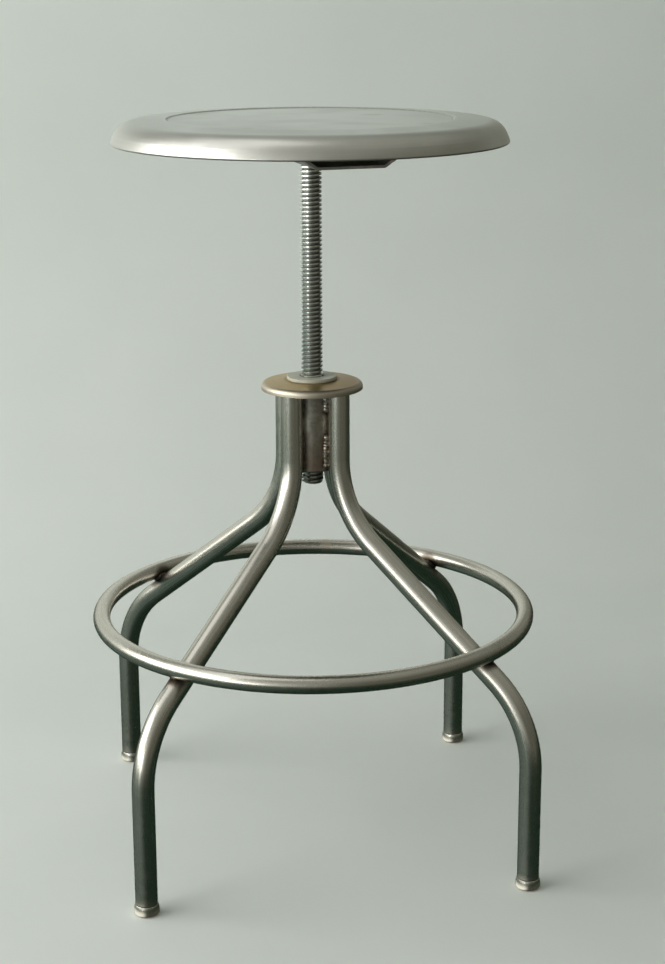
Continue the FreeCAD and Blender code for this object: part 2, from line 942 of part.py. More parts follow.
def build_leg(name, turn):
    body = new_body(name + "_body", name)
    path = new_sketch(body, name + "_path", "XZ_Plane")
    bends = {1: (dim.leg_bend_radius, 1), 3: (dim.leg_bend_radius, -1)}
    outline(path, LEG_PATH, arcs=bends, closed=False)
    tube = new_sketch(body, name + "_tube", "XY_Plane", dim.leg_top_height)
    add_circle(tube, dim.leg_tube_radius, dim.leg_top_radius, 0)
    add_circle(tube, dim.leg_tube_radius - dim.leg_tube_wall, dim.leg_top_radius, 0)
    doc.recompute()
    pipe = body.newObject("PartDesign::AdditivePipe", name + "_pipe")
    pipe.Profile = tube
    pipe.Spine = (path, ["Edge%d" % n for n in range(1, len(LEG_PATH))])
    pipe.Mode = "Frenet"
    doc.recompute()
    turn_about_z(body, turn)
    return body


# ---------------------------------------------------------------- foot ring
def build_foot_ring():
    outside = ring_torus("ring_outside", dim.ring_tube_radius)
    inside = ring_torus("ring_inside", dim.ring_tube_radius - dim.ring_tube_wall)
    return cut("foot_ring_solid", outside, inside, "foot_ring")


# --------------------------------------------- ferrules and glide inserts
def place_at_foot(body, turn):
    x, y = dim.leg_foot_radius * cosd(turn), dim.leg_foot_radius * sind(turn)
    place(body, x, y, 0, about_z(turn))


def build_ferrule(corner, turn):
    """A cup under the end of a leg, round at its foot and bulging at its side."""
    bore, bore_round = dim.ferrule_bore_radius, dim.ferrule_bore_round
    ferrule = turned(
        "ferrule_body_" + corner,
        [
            (0, 0),
            (dim.ferrule_radius - dim.ferrule_round, 0),
            (dim.ferrule_radius, dim.ferrule_round),
            (dim.ferrule_top_radius, dim.ferrule_height - dim.ferrule_lip_chamfer),
            (dim.ferrule_top_radius - dim.ferrule_lip_chamfer, dim.ferrule_height),
            (bore, dim.ferrule_height),
            (bore, dim.ferrule_wall + bore_round),
            (bore - bore_round, dim.ferrule_wall),
            (0, dim.ferrule_wall),
        ],
        arcs={
            1: (dim.ferrule_round, 1),
            2: (dim.ferrule_crown_radius, 1),
            6: (bore_round, -1),
        },
        label="ferrule_" + corner,
    )
    place_at_foot(ferrule, turn)
    return ferrule


def build_insert(corner, turn):
    """A plug inside the leg, with a wider neck between leg and ferrule."""
    bottom = dim.ferrule_wall + dim.insert_play
    neck_top = dim.leg_end_height - dim.insert_play
    insert = turned(
        "insert_body_" + corner,
        [
            (0, bottom),
            (dim.insert_neck_radius - dim.insert_neck_chamfer, bottom),
            (dim.insert_neck_radius, bottom + dim.insert_neck_chamfer),
            (dim.insert_neck_radius, neck_top),
            (dim.insert_body_radius, neck_top),
            (dim.insert_body_radius, dim.insert_top - dim.insert_top_chamfer),
            (dim.insert_body_radius - dim.insert_top_chamfer, dim.insert_top),
            (0, dim.insert_top),
        ],
        label="glide_insert_" + corner,
    )
    place_at_foot(insert, turn)
    return insert


# --------------------------------------------------------------- weld beads
# A hub bead's axis stands at these distances from the axes of hub and leg.
bead_from_hub = dim.hub_radius + dim.hub_bead_radius - dim.hub_bead_bite
bead_from_leg = dim.leg_tube_radius + dim.hub_bead_radius - dim.hub_bead_bite
bead_x = (
    bead_from_hub * bead_from_hub
    - bead_from_leg * bead_from_leg
    + dim.leg_top_radius * dim.leg_top_radius
) / (2 * dim.leg_top_radius)
bead_y = root(bead_from_hub * bead_from_hub - bead_x * bead_x)


def build_hub_bead(tag, y, low, high, turn):
    """A round-ended rod, less the hub and the leg that it lies against."""
    parts = [
        cylinder("bead_rod_" + tag, dim.hub_bead_radius, high - low, bead_x, y, low)
    ]
    for end, z in (("lo", low), ("hi", high)):
        ball = doc.addObject("Part::Sphere", "bead_%s_%s" % (end, tag))
        bind(ball, Radius=dim.hub_bead_radius)
        place(ball, bead_x, y, z)
        parts.append(ball)
    # stand-ins for hub and leg that reach past both ends of every bead
    cutter_z, cutter_length = 340, size(120)
    hub_rod = cylinder("bead_hub_" + tag, dim.hub_radius, cutter_length, z=cutter_z)
    leg_rod = cylinder(
        "bead_leg_" + tag,
        dim.leg_tube_radius,
        cutter_length,
        x=dim.leg_top_radius,
        z=cutter_z,
    )
    cutter = fuse("bead_tool_" + tag, [hub_rod, leg_rod])
    bead = cut("bead_" + tag, fuse("bead_body_" + tag, parts), cutter)
    turn_about_z(bead, turn)
    return bead


def build_hub_welds():
    """A bead fills the groove on each side of every leg, in two runs."""
    runs = (
        ("low", dim.hub_bead_low_from, dim.hub_bead_low_to),
        ("high", dim.hub_bead_high_from, dim.hub_bead_high_to),
    )
    beads = []
    for corner, multiple in LEGS:
        for letter, side in (("a", 1), ("b", -1)):
            for run, low, high in runs:
                tag = "%s_%s_%s" % (corner, letter, run)
                turn = multiple * dim.leg_turn
                beads.append(build_hub_bead(tag, side * bead_y, low, high, turn))
    return group(beads, "hub_welds")


def build_ring_bead(corner, turn):
    """A lump where the ring crosses a leg, less the leg and the ring."""
    contact_x = dim.ring_radius - dim.ring_tube_radius * cosd(dim.leg_slope)
    contact_z = dim.ring_height - dim.ring_tube_radius * sind(dim.leg_slope)
    leg_tilt = Rotation(Vector(0, 1, 0), 180 - dim.leg_slope.value)
    # the ellipsoid's own Z lies along the leg, its X square to the leg
    lump = doc.addObject("Part::Ellipsoid", "ring_bead_lump_" + corner)
    bind(
        lump,
        Radius1=dim.ring_bead_along,
        Radius2=dim.ring_bead_thick,
        Radius3=dim.ring_bead_across,
    )
    place(lump, contact_x, 0, contact_z, leg_tilt)
    # a stand-in for the leg's outside along its sloping run
    leg_rod = cylinder(
        "ring_bead_leg_" + corner,
        dim.leg_tube_radius,
        size(171),
        x=slope_top_x,
        z=slope_top_z,
        lean=leg_tilt,
    )
    ring = ring_torus("ring_bead_ring_" + corner, dim.ring_tube_radius)
    on_leg = cut("ring_bead_on_leg_" + corner, lump, leg_rod)
    bead = cut("ring_bead_" + corner, on_leg, ring)
    turn_about_z(bead, turn)
    return bead


def build_ring_welds():
    beads = [build_ring_bead(corner, multiple * dim.leg_turn) for corner, multiple in LEGS]
    return group(beads, "ring_welds")


# ----------------------------------------------------------- build and export
nodes = [build_seat_pan(), build_channel()]
nodes += build_stud_sets()
nodes += [
    build_spindle(),
    build_stop_pin(),
    build_top_washer(),
    build_lock_washer(),
    build_top_nut(),
    build_hub(),
    build_cap(),
    build_bushing(),
]
for corner, multiple in LEGS:
    nodes.append(build_leg("leg_" + corner, multiple * dim.leg_turn))
nodes.append(build_foot_ring())
for corner, multiple in LEGS:
    nodes.append(build_ferrule(corner, multiple * dim.leg_turn))
    nodes.append(build_insert(corner, multiple * dim.leg_turn))
nodes += [build_hub_welds(), build_ring_welds()]

doc.recompute()
for obj in doc.Objects:
    if "Invalid" in obj.State or "Error" in obj.State:
        raise RuntimeError("%s is %s" % (obj.Label, obj.State))
os.makedirs("parts", exist_ok=True)
for node in nodes:
    if node.Shape.isNull() or not node.Shape.isValid():
        raise RuntimeError(node.Label + " has no valid shape")
    node.Shape.exportStep("parts/%s.step" % node.Label)
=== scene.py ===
import json
import math

import bpy
import bmesh
import numpy as np
from mathutils import Matrix, Vector

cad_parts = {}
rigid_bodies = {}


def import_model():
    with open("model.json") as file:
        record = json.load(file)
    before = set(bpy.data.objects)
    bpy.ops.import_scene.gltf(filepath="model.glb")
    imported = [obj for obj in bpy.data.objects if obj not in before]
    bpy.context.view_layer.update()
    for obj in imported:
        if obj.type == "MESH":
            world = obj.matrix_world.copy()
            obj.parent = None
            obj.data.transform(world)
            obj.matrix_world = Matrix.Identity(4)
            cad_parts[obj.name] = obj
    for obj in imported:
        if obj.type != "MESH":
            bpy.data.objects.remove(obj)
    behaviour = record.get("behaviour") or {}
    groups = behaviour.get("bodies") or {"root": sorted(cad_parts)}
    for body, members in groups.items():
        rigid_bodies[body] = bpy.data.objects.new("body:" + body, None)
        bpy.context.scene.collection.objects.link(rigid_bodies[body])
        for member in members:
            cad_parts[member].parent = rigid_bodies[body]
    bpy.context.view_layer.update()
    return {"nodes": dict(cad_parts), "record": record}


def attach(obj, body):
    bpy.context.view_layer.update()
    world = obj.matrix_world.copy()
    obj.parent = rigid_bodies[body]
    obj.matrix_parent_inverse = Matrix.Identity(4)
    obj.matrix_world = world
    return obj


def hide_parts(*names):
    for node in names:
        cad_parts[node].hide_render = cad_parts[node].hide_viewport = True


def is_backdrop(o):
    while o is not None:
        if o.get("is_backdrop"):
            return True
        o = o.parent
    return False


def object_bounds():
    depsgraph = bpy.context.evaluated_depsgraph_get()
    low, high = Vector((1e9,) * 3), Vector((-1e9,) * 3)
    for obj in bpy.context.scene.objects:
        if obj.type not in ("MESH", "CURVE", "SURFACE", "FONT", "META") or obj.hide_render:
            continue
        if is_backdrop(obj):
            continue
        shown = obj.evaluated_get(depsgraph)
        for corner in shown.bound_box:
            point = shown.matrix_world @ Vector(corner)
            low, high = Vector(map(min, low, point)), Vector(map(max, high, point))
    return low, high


for leftover in list(bpy.data.objects):
    bpy.data.objects.remove(leftover)

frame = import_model()
nodes = frame["nodes"]
scene = bpy.context.scene


# ---------------------------------------------------------------- node writer
class Val:
    """A number or colour in a node tree, so that shaders read as sums."""

    def __init__(self, shader, socket):
        self.shader, self.socket = shader, socket

    def _two(self, kind, a, b):
        return self.shader.math(kind, a, b)

    def __add__(self, o):
        return self._two("ADD", self, o)

    def __radd__(self, o):
        return self._two("ADD", o, self)

    def __sub__(self, o):
        return self._two("SUBTRACT", self, o)

    def __rsub__(self, o):
        return self._two("SUBTRACT", o, self)

    def __mul__(self, o):
        return self._two("MULTIPLY", self, o)

    def __rmul__(self, o):
        return self._two("MULTIPLY", o, self)

    def __truediv__(self, o):
        return self._two("DIVIDE", self, o)

    def __pow__(self, o):
        return self._two("POWER", self, o)

    def low(self, o):
        return self._two("MINIMUM", self, o)

    def high(self, o):
        return self._two("MAXIMUM", self, o)

    def size(self):
        return self.shader.math("ABSOLUTE", self)

    def clamp(self):
        return self.shader.math("ADD", self, 0.0, clamp=True)

    def step(self, a, b, to_a=0.0, to_b=1.0):
        """Smooth ramp: to_a below a, to_b above b."""
        return self.shader.ramp_range(self, a, b, to_a, to_b)


class Shader:
    def __init__(self, name):
        self.material = bpy.data.materials.new(name)
        self.material.use_nodes = True
        self.tree = self.material.node_tree
        self.tree.nodes.clear()
        self.out = self.tree.nodes.new("ShaderNodeOutputMaterial")
        self._coords = None

    def put(self, socket, value):
        if isinstance(value, Val):
            value = value.socket
        if isinstance(value, bpy.types.NodeSocket):
            self.tree.links.new(value, socket)
        elif hasattr(socket, "default_value"):
            if socket.type == "RGBA" and isinstance(value, (int, float)):
                value = (value, value, value, 1.0)
            elif socket.type == "RGBA" and len(value) == 3:
                value = (*value, 1.0)
            elif socket.type == "VECTOR" and isinstance(value, (int, float)):
                value = (value, value, value)
            socket.default_value = value

    def node(self, kind, **props):
        n = self.tree.nodes.new(kind)
        for k, v in props.items():
            setattr(n, k, v)
        return n

    def math(self, kind, a, b=None, clamp=False):
        n = self.node("ShaderNodeMath", operation=kind, use_clamp=clamp)
        self.put(n.inputs[0], a)
        if b is not None:
            self.put(n.inputs[1], b)
        return Val(self, n.outputs[0])

    def ramp_range(self, x, a, b, to_a, to_b):
        n = self.node("ShaderNodeMapRange", interpolation_type="SMOOTHSTEP")
        n.clamp = True
        flip = a > b
        lo, hi, va, vb = (b, a, to_b, to_a) if flip else (a, b, to_a, to_b)
        for socket, v in zip(
            ("Value", "From Min", "From Max", "To Min", "To Max"), (x, lo, hi, va, vb)
        ):
            self.put(n.inputs[socket], v)
        return Val(self, n.outputs["Result"])

    def coords(self):
        """x, y, z of the point in millimetres, in the row frame at rest."""
        if self._coords is None:
            tc = self.node("ShaderNodeTexCoord")
            scale = self.node("ShaderNodeVectorMath", operation="SCALE")
            self.put(scale.inputs[0], tc.outputs["Object"])
            scale.inputs["Scale"].default_value = 1000.0
            split = self.node("ShaderNodeSeparateXYZ")
            self.put(split.inputs[0], scale.outputs[0])
            self._vector = Val(self, scale.outputs[0])
            self._coords = [Val(self, split.outputs[i]) for i in range(3)]
        return self._coords

    def point(self):
        self.coords()
        return self._vector

    def combine(self, x, y, z):
        n = self.node("ShaderNodeCombineXYZ")
        for i, v in enumerate((x, y, z)):
            self.put(n.inputs[i], v)
        return Val(self, n.outputs[0])

    def noise(self, vector, scale=1.0, detail=2.0, rough=0.5, w=None, warp=0.0):
        n = self.node("ShaderNodeTexNoise")
        n.noise_dimensions = "4D" if w is not None else "3D"
        self.put(n.inputs["Vector"], vector)
        if w is not None:
            self.put(n.inputs["W"], w)
        self.put(n.inputs["Scale"], scale)
        self.put(n.inputs["Detail"], detail)
        self.put(n.inputs["Roughness"], rough)
        self.put(n.inputs["Distortion"], warp)
        return Val(self, n.outputs["Fac"])

    def voronoi(self, vector, scale=1.0, feature="F1", output="Distance", jitter=1.0):
        n = self.node("ShaderNodeTexVoronoi", feature=feature)
        self.put(n.inputs["Vector"], vector)
        self.put(n.inputs["Scale"], scale)
        self.put(n.inputs["Randomness"], jitter)
        return Val(self, n.outputs[output])

    def mix(self, fac, a, b, kind="MIX"):
        n = self.node("ShaderNodeMix", data_type="RGBA", blend_type=kind)
        n.clamp_factor = True
        self.put(n.inputs[0], fac)
        self.put(n.inputs[6], a)
        self.put(n.inputs[7], b)
        return Val(self, n.outputs[2])

    def ramp(self, fac, stops):
        n = self.node("ShaderNodeValToRGB")
        self.put(n.inputs[0], fac)
        elements = n.color_ramp.elements
        while len(elements) < len(stops):
            elements.new(0.5)
        for e, (at, colour) in zip(elements, stops):
            e.position = at
            e.color = (*colour, 1.0)
        return Val(self, n.outputs[0])

    def attribute(self, name, vector=False):
        n = self.node("ShaderNodeAttribute", attribute_name=name)
        return Val(self, n.outputs["Vector" if vector else "Fac"])

    def split(self, vector):
        n = self.node("ShaderNodeSeparateXYZ")
        self.put(n.inputs[0], vector)
        return [Val(self, n.outputs[i]) for i in range(3)]

    def stretch(self, vector, xyz):
        n = self.node("ShaderNodeVectorMath", operation="MULTIPLY")
        self.put(n.inputs[0], vector)
        self.put(n.inputs[1], xyz)
        return Val(self, n.outputs[0])

    def bump(self, height, strength=0.3, distance=0.0002, under=None):
        n = self.node("ShaderNodeBump")
        self.put(n.inputs["Height"], height)
        self.put(n.inputs["Strength"], strength)
        self.put(n.inputs["Distance"], distance)
        if under is not None:
            self.put(n.inputs["Normal"], under)
        return Val(self, n.outputs[0])

    def rounded(self, radius):
        n = self.node("ShaderNodeBevel", samples=6)
        self.put(n.inputs["Radius"], radius)
        return Val(self, n.outputs[0])

    def edge(self, radius):
        """About 1 where an edge is within radius, 0 on open faces."""
        bevel = self.node("ShaderNodeBevel", samples=6)
        self.put(bevel.inputs["Radius"], radius)
        geo = self.node("ShaderNodeNewGeometry")
        dot = self.node("ShaderNodeVectorMath", operation="DOT_PRODUCT")
        self.put(dot.inputs[0], bevel.outputs[0])
        self.put(dot.inputs[1], geo.outputs["Normal"])
        return Val(self, dot.outputs["Value"]).step(0.995, 0.90)

    def surface(self, **sockets):
        """Principled surface; keyword names have _ for spaces."""
        n = self.node("ShaderNodeBsdfPrincipled")
        for k, v in sockets.items():
            self.put(n.inputs[k.replace("_", " ")], v)
        self.put(self.out.inputs["Surface"], n.outputs[0])
        return self.material


def grey(v):
    return (v, v, v)


# --------------------------------------------------------- places on the frame
LEG_TURN = math.radians(45.0)
# the leg's centreline in its own plane: radius from the stool's axis, height
TOP = (31.05, 436.5)
BEND_1 = (126.05, 370.4, 95.0)
SLOPE_FROM = (69.276, 294.232)
SLOPE_TO = (206.774, 191.745)
BEND_2 = (150.0, 115.577, 95.0)
FOOT = (245.0, 10.0)
RING_R, RING_Z, RING_TUBE = 201.5, 218.19, 8.0
LEG_TUBE = 10.0


def leg_line():
    """The leg's centreline as points with their arc length."""
    pts = [TOP, (31.05, 370.4)]
    cx, cz, rho = BEND_1
    a0 = math.pi
    a1 = math.atan2(SLOPE_FROM[1] - cz, SLOPE_FROM[0] - cx) % (2 * math.pi)
    for i in range(1, 61):
        a = a0 + (a1 - a0) * i / 60
        pts.append((cx + rho * math.cos(a), cz + rho * math.sin(a)))
    pts.append(SLOPE_TO)
    cx, cz, rho = BEND_2
    a0 = math.atan2(SLOPE_TO[1] - cz, SLOPE_TO[0] - cx)
    for i in range(1, 61):
        a = a0 * (1 - i / 60)
        pts.append((cx + rho * math.cos(a), cz + rho * math.sin(a)))
    pts.append(FOOT)
    p = np.array(pts)
    seg = np.linalg.norm(np.diff(p, axis=0), axis=1)
    keep = np.concatenate([[True], seg > 1e-6])
    p = p[keep]
    seg = np.linalg.norm(np.diff(p, axis=0), axis=1)
    return p, np.concatenate([[0.0], np.cumsum(seg)])


LINE, ARC = leg_line()


def straightened(xyz, turn):
    """Arc length and cross-section place of points on a leg, in mm."""
    c, s = math.cos(turn), math.sin(turn)
    r = xyz[:, 0] * c + xyz[:, 1] * s
    t = -xyz[:, 0] * s + xyz[:, 1] * c
    q = np.stack([r, xyz[:, 2]], 1)
    best = np.full(len(q), 1e18)
    arc = np.zeros(len(q))
    side = np.zeros(len(q))
    for i in range(len(LINE) - 1):
        a, b = LINE[i], LINE[i + 1]
        d = b - a
        length = np.linalg.norm(d)
        d = d / length
        k = (q - a) @ d
        if i > 0:
            k = np.maximum(k, 0.0)
        if i < len(LINE) - 2:
            k = np.minimum(k, length)
        foot = a + k[:, None] * d
        gap = ((q - foot) ** 2).sum(1)
        better = gap < best
        best[better] = gap[better]
        arc[better] = ARC[i] + k[better]
        normal = np.array([-d[1], d[0]])
        side[better] = ((q - foot) @ normal)[better]
    return arc, side, t


def mesh_points(o):
    co = np.zeros(len(o.data.vertices) * 3)
    o.data.vertices.foreach_get("co", co)
    return co.reshape(-1, 3) * 1000.0


def write_flow(o, vector, w):
    a = o.data.attributes.new("flow", "FLOAT_VECTOR", "POINT")
    a.data.foreach_set("vector", vector.astype(np.float32).ravel())
    b = o.data.attributes.new("flow_w", "FLOAT", "POINT")
    b.data.foreach_set("value", w.astype(np.float32))


LEGS = {
    "leg_rear_right": 1,
    "leg_rear_left": 3,
    "leg_front_left": 5,
    "leg_front_right": 7,
}
for number, (name, eighths) in enumerate(LEGS.items()):
    o = nodes[name]
    arc, u, v = straightened(mesh_points(o), eighths * LEG_TURN)
    write_flow(o, np.stack([arc, np.full(len(arc), 700.0 * number), u], 1), v)

ring = nodes["foot_ring"]
p = mesh_points(ring)
rad = np.hypot(p[:, 0], p[:, 1])
write_flow(
    ring,
    np.stack(
        [p[:, 0] / rad * RING_R, 3000 + p[:, 1] / rad * RING_R, rad - RING_R], 1
    ),
    p[:, 2] - RING_Z,
)


# ------------------------------------------------------------------ heat tints
def weld_distance(sh):
    """Millimetres from a point to the nearest weld, for hub and for ring."""
    x, y, z = sh.coords()
    ax, ay = x.size(), y.size()
    hi, lo = ax.high(ay), ax.low(ay)
    dx, dy = hi - 19.2, lo - 11.0
    across = dx * dx + dy * dy
    dz1 = (z - 392.0).high(364.0 - z).high(0.0)
    dz2 = (z - 432.0).high(416.0 - z).high(0.0)
    dz = dz1.low(dz2)
    hub = sh.math("SQRT", across + dz * dz)
    rx, ry, rz = ax - 139.1, ay - 139.1, z - 211.8
    contact = sh.math("SQRT", rx * rx + ry * ry + rz * rz)
    return hub, contact


def tint_of(sh, base, near):
    """Burnt brown round a weld: near is 0 at the weld and 1 where the metal is plain."""
    colours = sh.ramp(
        near,
        [
            (0.00, (0.045, 0.036, 0.029)),
            (0.18, (0.080, 0.066, 0.052)),
            (0.36, (0.150, 0.125, 0.098)),
            (0.52, (0.235, 0.205, 0.168)),
            (0.66, (0.330, 0.300, 0.260)),
            (0.82, (0.450, 0.420, 0.365)),
            (1.00, (0.590, 0.570, 0.520)),
        ],
    )
    return sh.mix(near.step(0.55, 1.0), colours, base)


# ------------------------------------------------------------------- materials
def tube_steel(name, ring_scuffs=False):
    sh = Shader(name)
    x, y, z = sh.coords()
    flow = sh.attribute("flow", True)
    w = sh.attribute("flow_w")
    # drawn and linished tube: fine grain along the tube over slower bands
    fine = sh.noise(sh.stretch(flow, (0.035, 0.035, 3.0)), 1.0, 3.0, 0.6, w=w * 3.0)
    mid = sh.noise(sh.stretch(flow, (0.012, 0.012, 0.75)), 1.0, 2.0, 0.5, w=w * 0.75)
    slow = sh.noise(sh.point(), 0.018, 3.0, 0.55)
    cloud = sh.noise(sh.point(), 0.11, 4.0, 0.6)
    # short scratches, mostly along the tube and some across it
    s1 = sh.noise(
        sh.stretch(flow, (0.09, 0.09, 5.5)), 1.0, 1.0, 0.4, w=w * 5.5, warp=0.15
    ).step(0.70, 0.76)
    s2 = sh.noise(sh.stretch(flow, (2.6, 2.6, 0.16)), 1.0, 1.0, 0.4, w=w * 0.16).step(
        0.735, 0.78
    )
    where = sh.noise(sh.point(), 0.03, 2.0, 0.5).step(0.42, 0.62)
    scratch = (s1.high(s2 * 0.8)) * where
    hub, contact = weld_distance(sh)
    wobble = (sh.noise(sh.point(), 0.35, 3.0, 0.6) - 0.5) * 3.2
    near_ring = ((contact + wobble) - 5.0) / 11.0
    near_hub = ((hub + wobble) + 2.5) / 9.5
    near = near_ring.low(near_hub).clamp()
    base = sh.mix(slow.step(0.35, 0.68), (0.600, 0.578, 0.512), (0.670, 0.651, 0.588))
    base = sh.mix(mid.step(0.36, 0.66) * 0.48, base, (0.485, 0.455, 0.390))
    base = sh.mix(fine.step(0.30, 0.75) * 0.25, base, (0.730, 0.720, 0.690))
    base = sh.mix(scratch * 0.5, base, (0.78, 0.77, 0.75))
    # darker, rougher clouds on the low part of the legs, below 70 mm
    low = z.step(70.0, 5.0) * cloud.step(0.35, 0.75)
    base = sh.mix(low * 0.30, base, (0.255, 0.235, 0.200))
    spots = sh.voronoi(sh.point(), 0.16).step(0.13, 0.05) * where
    base = sh.mix(spots * 0.35, base, (0.33, 0.30, 0.25))
    rough = 0.165 + cloud * 0.07 + mid.step(0.36, 0.66) * 0.06 + fine * 0.05
    if ring_scuffs:
        # shoes wear the ring's upper outside: more, coarser scuffs there
        top = w.step(-1.0, 6.5)
        scuff = sh.noise(
            sh.stretch(flow, (0.22, 0.22, 0.9)), 1.0, 4.0, 0.65, w=w * 0.9
        ).step(0.52, 0.68)
        worn = top * scuff
        base = sh.mix(worn * 0.35, base, (0.46, 0.445, 0.41))
        rough = rough + worn * 0.14
        # the ring's own ground-down butt weld, at the back
        seam = ((x - 38.0 + (cloud - 0.5) * 2.0).size()).step(7.0, 1.2)
        seam = seam * y.step(150.0, 160.0)
        base = sh.mix(seam * 0.55, base, (0.53, 0.45, 0.33))
        rough = rough + seam * 0.10
    base = tint_of(sh, base, near)
    heated = near.step(1.0, 0.35)
    rough = rough + heated * 0.16 + low * 0.12 - scratch * 0.05
    height = fine * 0.5 + mid * 0.5 - scratch * 0.8
    normal = sh.bump(height, 0.09, 0.00004)
    normal = sh.bump(slow * 1.0 + heated * cloud * 0.6, 0.05, 0.0006, under=normal)
    return sh.surface(
        Base_Color=base,
        Metallic=1.0,
        Roughness=rough + 0.02,
        Normal=normal,
        Specular_Tint=(0.98, 0.97, 0.95),
    )


def seat_sheet(name):
    """Spun and satin-finished sheet: grain runs round the seat."""
    sh = Shader(name)
    x, y, z = sh.coords()
    r = sh.math("SQRT", x * x + y * y)
    ux, uy = x / r.high(0.5), y / r.high(0.5)
    lane = r - z * 0.9
    fine = sh.noise(
        sh.combine(ux * 2.2, uy * 2.2, lane * 2.6), 1.0, 3.0, 0.62, w=z * 0.4
    )
    bands = sh.noise(sh.combine(ux * 0.9, uy * 0.9, lane * 0.42), 1.0, 2.0, 0.5)
    cloud = sh.noise(sh.point(), 0.022, 4.0, 0.58)
    small = sh.noise(sh.point(), 0.16, 4.0, 0.62)
    swirl = sh.noise(sh.point(), 0.009, 2.0, 0.5, warp=1.2)
    # scratches: arcs with the grain, plus stray ones across it from use
    arcs = sh.noise(
        sh.combine(ux * 7.0, uy * 7.0, lane * 4.6), 1.0, 1.0, 0.4
    ).step(0.705, 0.76)
    turned_x = x * 0.82 + y * 0.57
    turned_y = y * 0.82 - x * 0.57
    s2 = sh.noise(
        sh.combine(turned_x * 0.035, turned_y * 1.7, z * 0.2), 1.0, 1.0, 0.4, warp=0.35
    ).step(0.725, 0.77)
    s3 = sh.noise(
        sh.combine(turned_x * 1.5, turned_y * 0.045, z * 0.2), 1.0, 1.0, 0.4, warp=0.3
    ).step(0.735, 0.78)
    patch = sh.noise(sh.point(), 0.014, 2.0, 0.5).step(0.40, 0.62)
    scratch = (arcs * 0.7).high((s2.high(s3)) * patch)
    base = sh.mix(cloud.step(0.32, 0.70), (0.650, 0.640, 0.600), (0.720, 0.712, 0.675))
    base = sh.mix(bands.step(0.32, 0.72) * 0.28, base, (0.600, 0.590, 0.548))
    base = sh.mix(fine.step(0.30, 0.72) * 0.20, base, (0.770, 0.765, 0.735))
    base = sh.mix(scratch * 0.45, base, (0.79, 0.79, 0.77))
    # sitting face: painted reflection of the wall, a dull film of handling, and a painted
    # highlight and painted shade along the crease
    face = z.step(676.0, 681.0)
    film_and_shade = face * swirl.step(0.42, 0.66)
    # painted reflection: the sitting face is painted paler and greener
    base = sh.mix(face * 0.70, base, (0.690, 0.732, 0.708))
    base = sh.mix(film_and_shade * 0.16, base, (0.55, 0.56, 0.53))
    # painted highlight along the crease, and just inside it a dark line of grime and painted
    # shade
    crease_highlight = ((r - 129.9).size()).step(2.4, 0.5) * face
    grime_and_shade = ((r - 128.2).size()).step(1.9, 0.3) * face * small.step(0.15, 0.6)
    base = sh.mix(grime_and_shade * 0.42, base, (0.30, 0.29, 0.27))
    base = sh.mix(crease_highlight * 0.20, base, (0.80, 0.80, 0.78))
    # faint marks where the four studs are welded on below
    a = math.radians(8.75)
    c, s = math.cos(a), math.sin(a)
    marks = None
    for lx, ly in ((81.0, 86.0), (-81.0, 86.0), (-81.0, -86.0), (81.0, -86.0)):
        cx, cy = lx * c - ly * s, lx * s + ly * c
        dx, dy = x - cx, y - cy
        d = sh.math("SQRT", dx * dx + dy * dy)
        one = d.step(9.5, 3.0)
        marks = one if marks is None else marks.high(one)
    base = sh.mix(marks * (0.10 + small * 0.22), base, (0.50, 0.43, 0.31))
    # one old stain towards the right of the sitting face
    sx, sy = x - 62.0, y - 34.0
    stain = sh.math("SQRT", sx * sx * 0.35 + sy * sy) + (small - 0.5) * 14.0
    stain = stain.step(9.0, 3.0) * face
    base = sh.mix(stain * 0.22, base, (0.40, 0.375, 0.32))
    # the hem and the foot of the skirt are darker in patches
    foot = z.step(663.0, 659.5) * small.step(0.35, 0.75)
    base = sh.mix(foot * 0.22, base, (0.31, 0.29, 0.25))
    # the hidden underside is duller, and the faces turned downward are painted darker and
    # browner in clouds: painted shade under the seat
    geo = sh.node("ShaderNodeNewGeometry")
    nx, ny, nz = sh.split(Val(sh, geo.outputs["Normal"]))
    under = nz.step(-0.30, -0.75)
    base = sh.mix(
        under * cloud.step(0.30, 0.66) * 0.75, base, (0.345, 0.320, 0.270)
    )
    rough = 0.285 + cloud * 0.07 + small * 0.05 + fine * 0.05 + film_and_shade * 0.07
    rough = rough + under * 0.20 + grime_and_shade * 0.2 + marks * 0.05 - crease_highlight * 0.06
    rough = rough - scratch * 0.05 + stain * 0.10
    normal = sh.bump(fine * 0.6 + bands * 0.6 - scratch * 0.9, 0.20, 0.00004)
    normal = sh.bump(cloud * 1.0 + marks * small * 0.10, 0.16, 0.0014, under=normal)
    return sh.surface(
        Base_Color=base,
        Metallic=1.0,
        Roughness=rough,
        Normal=normal,
        Specular_Tint=(0.97, 0.98, 0.97),
    )


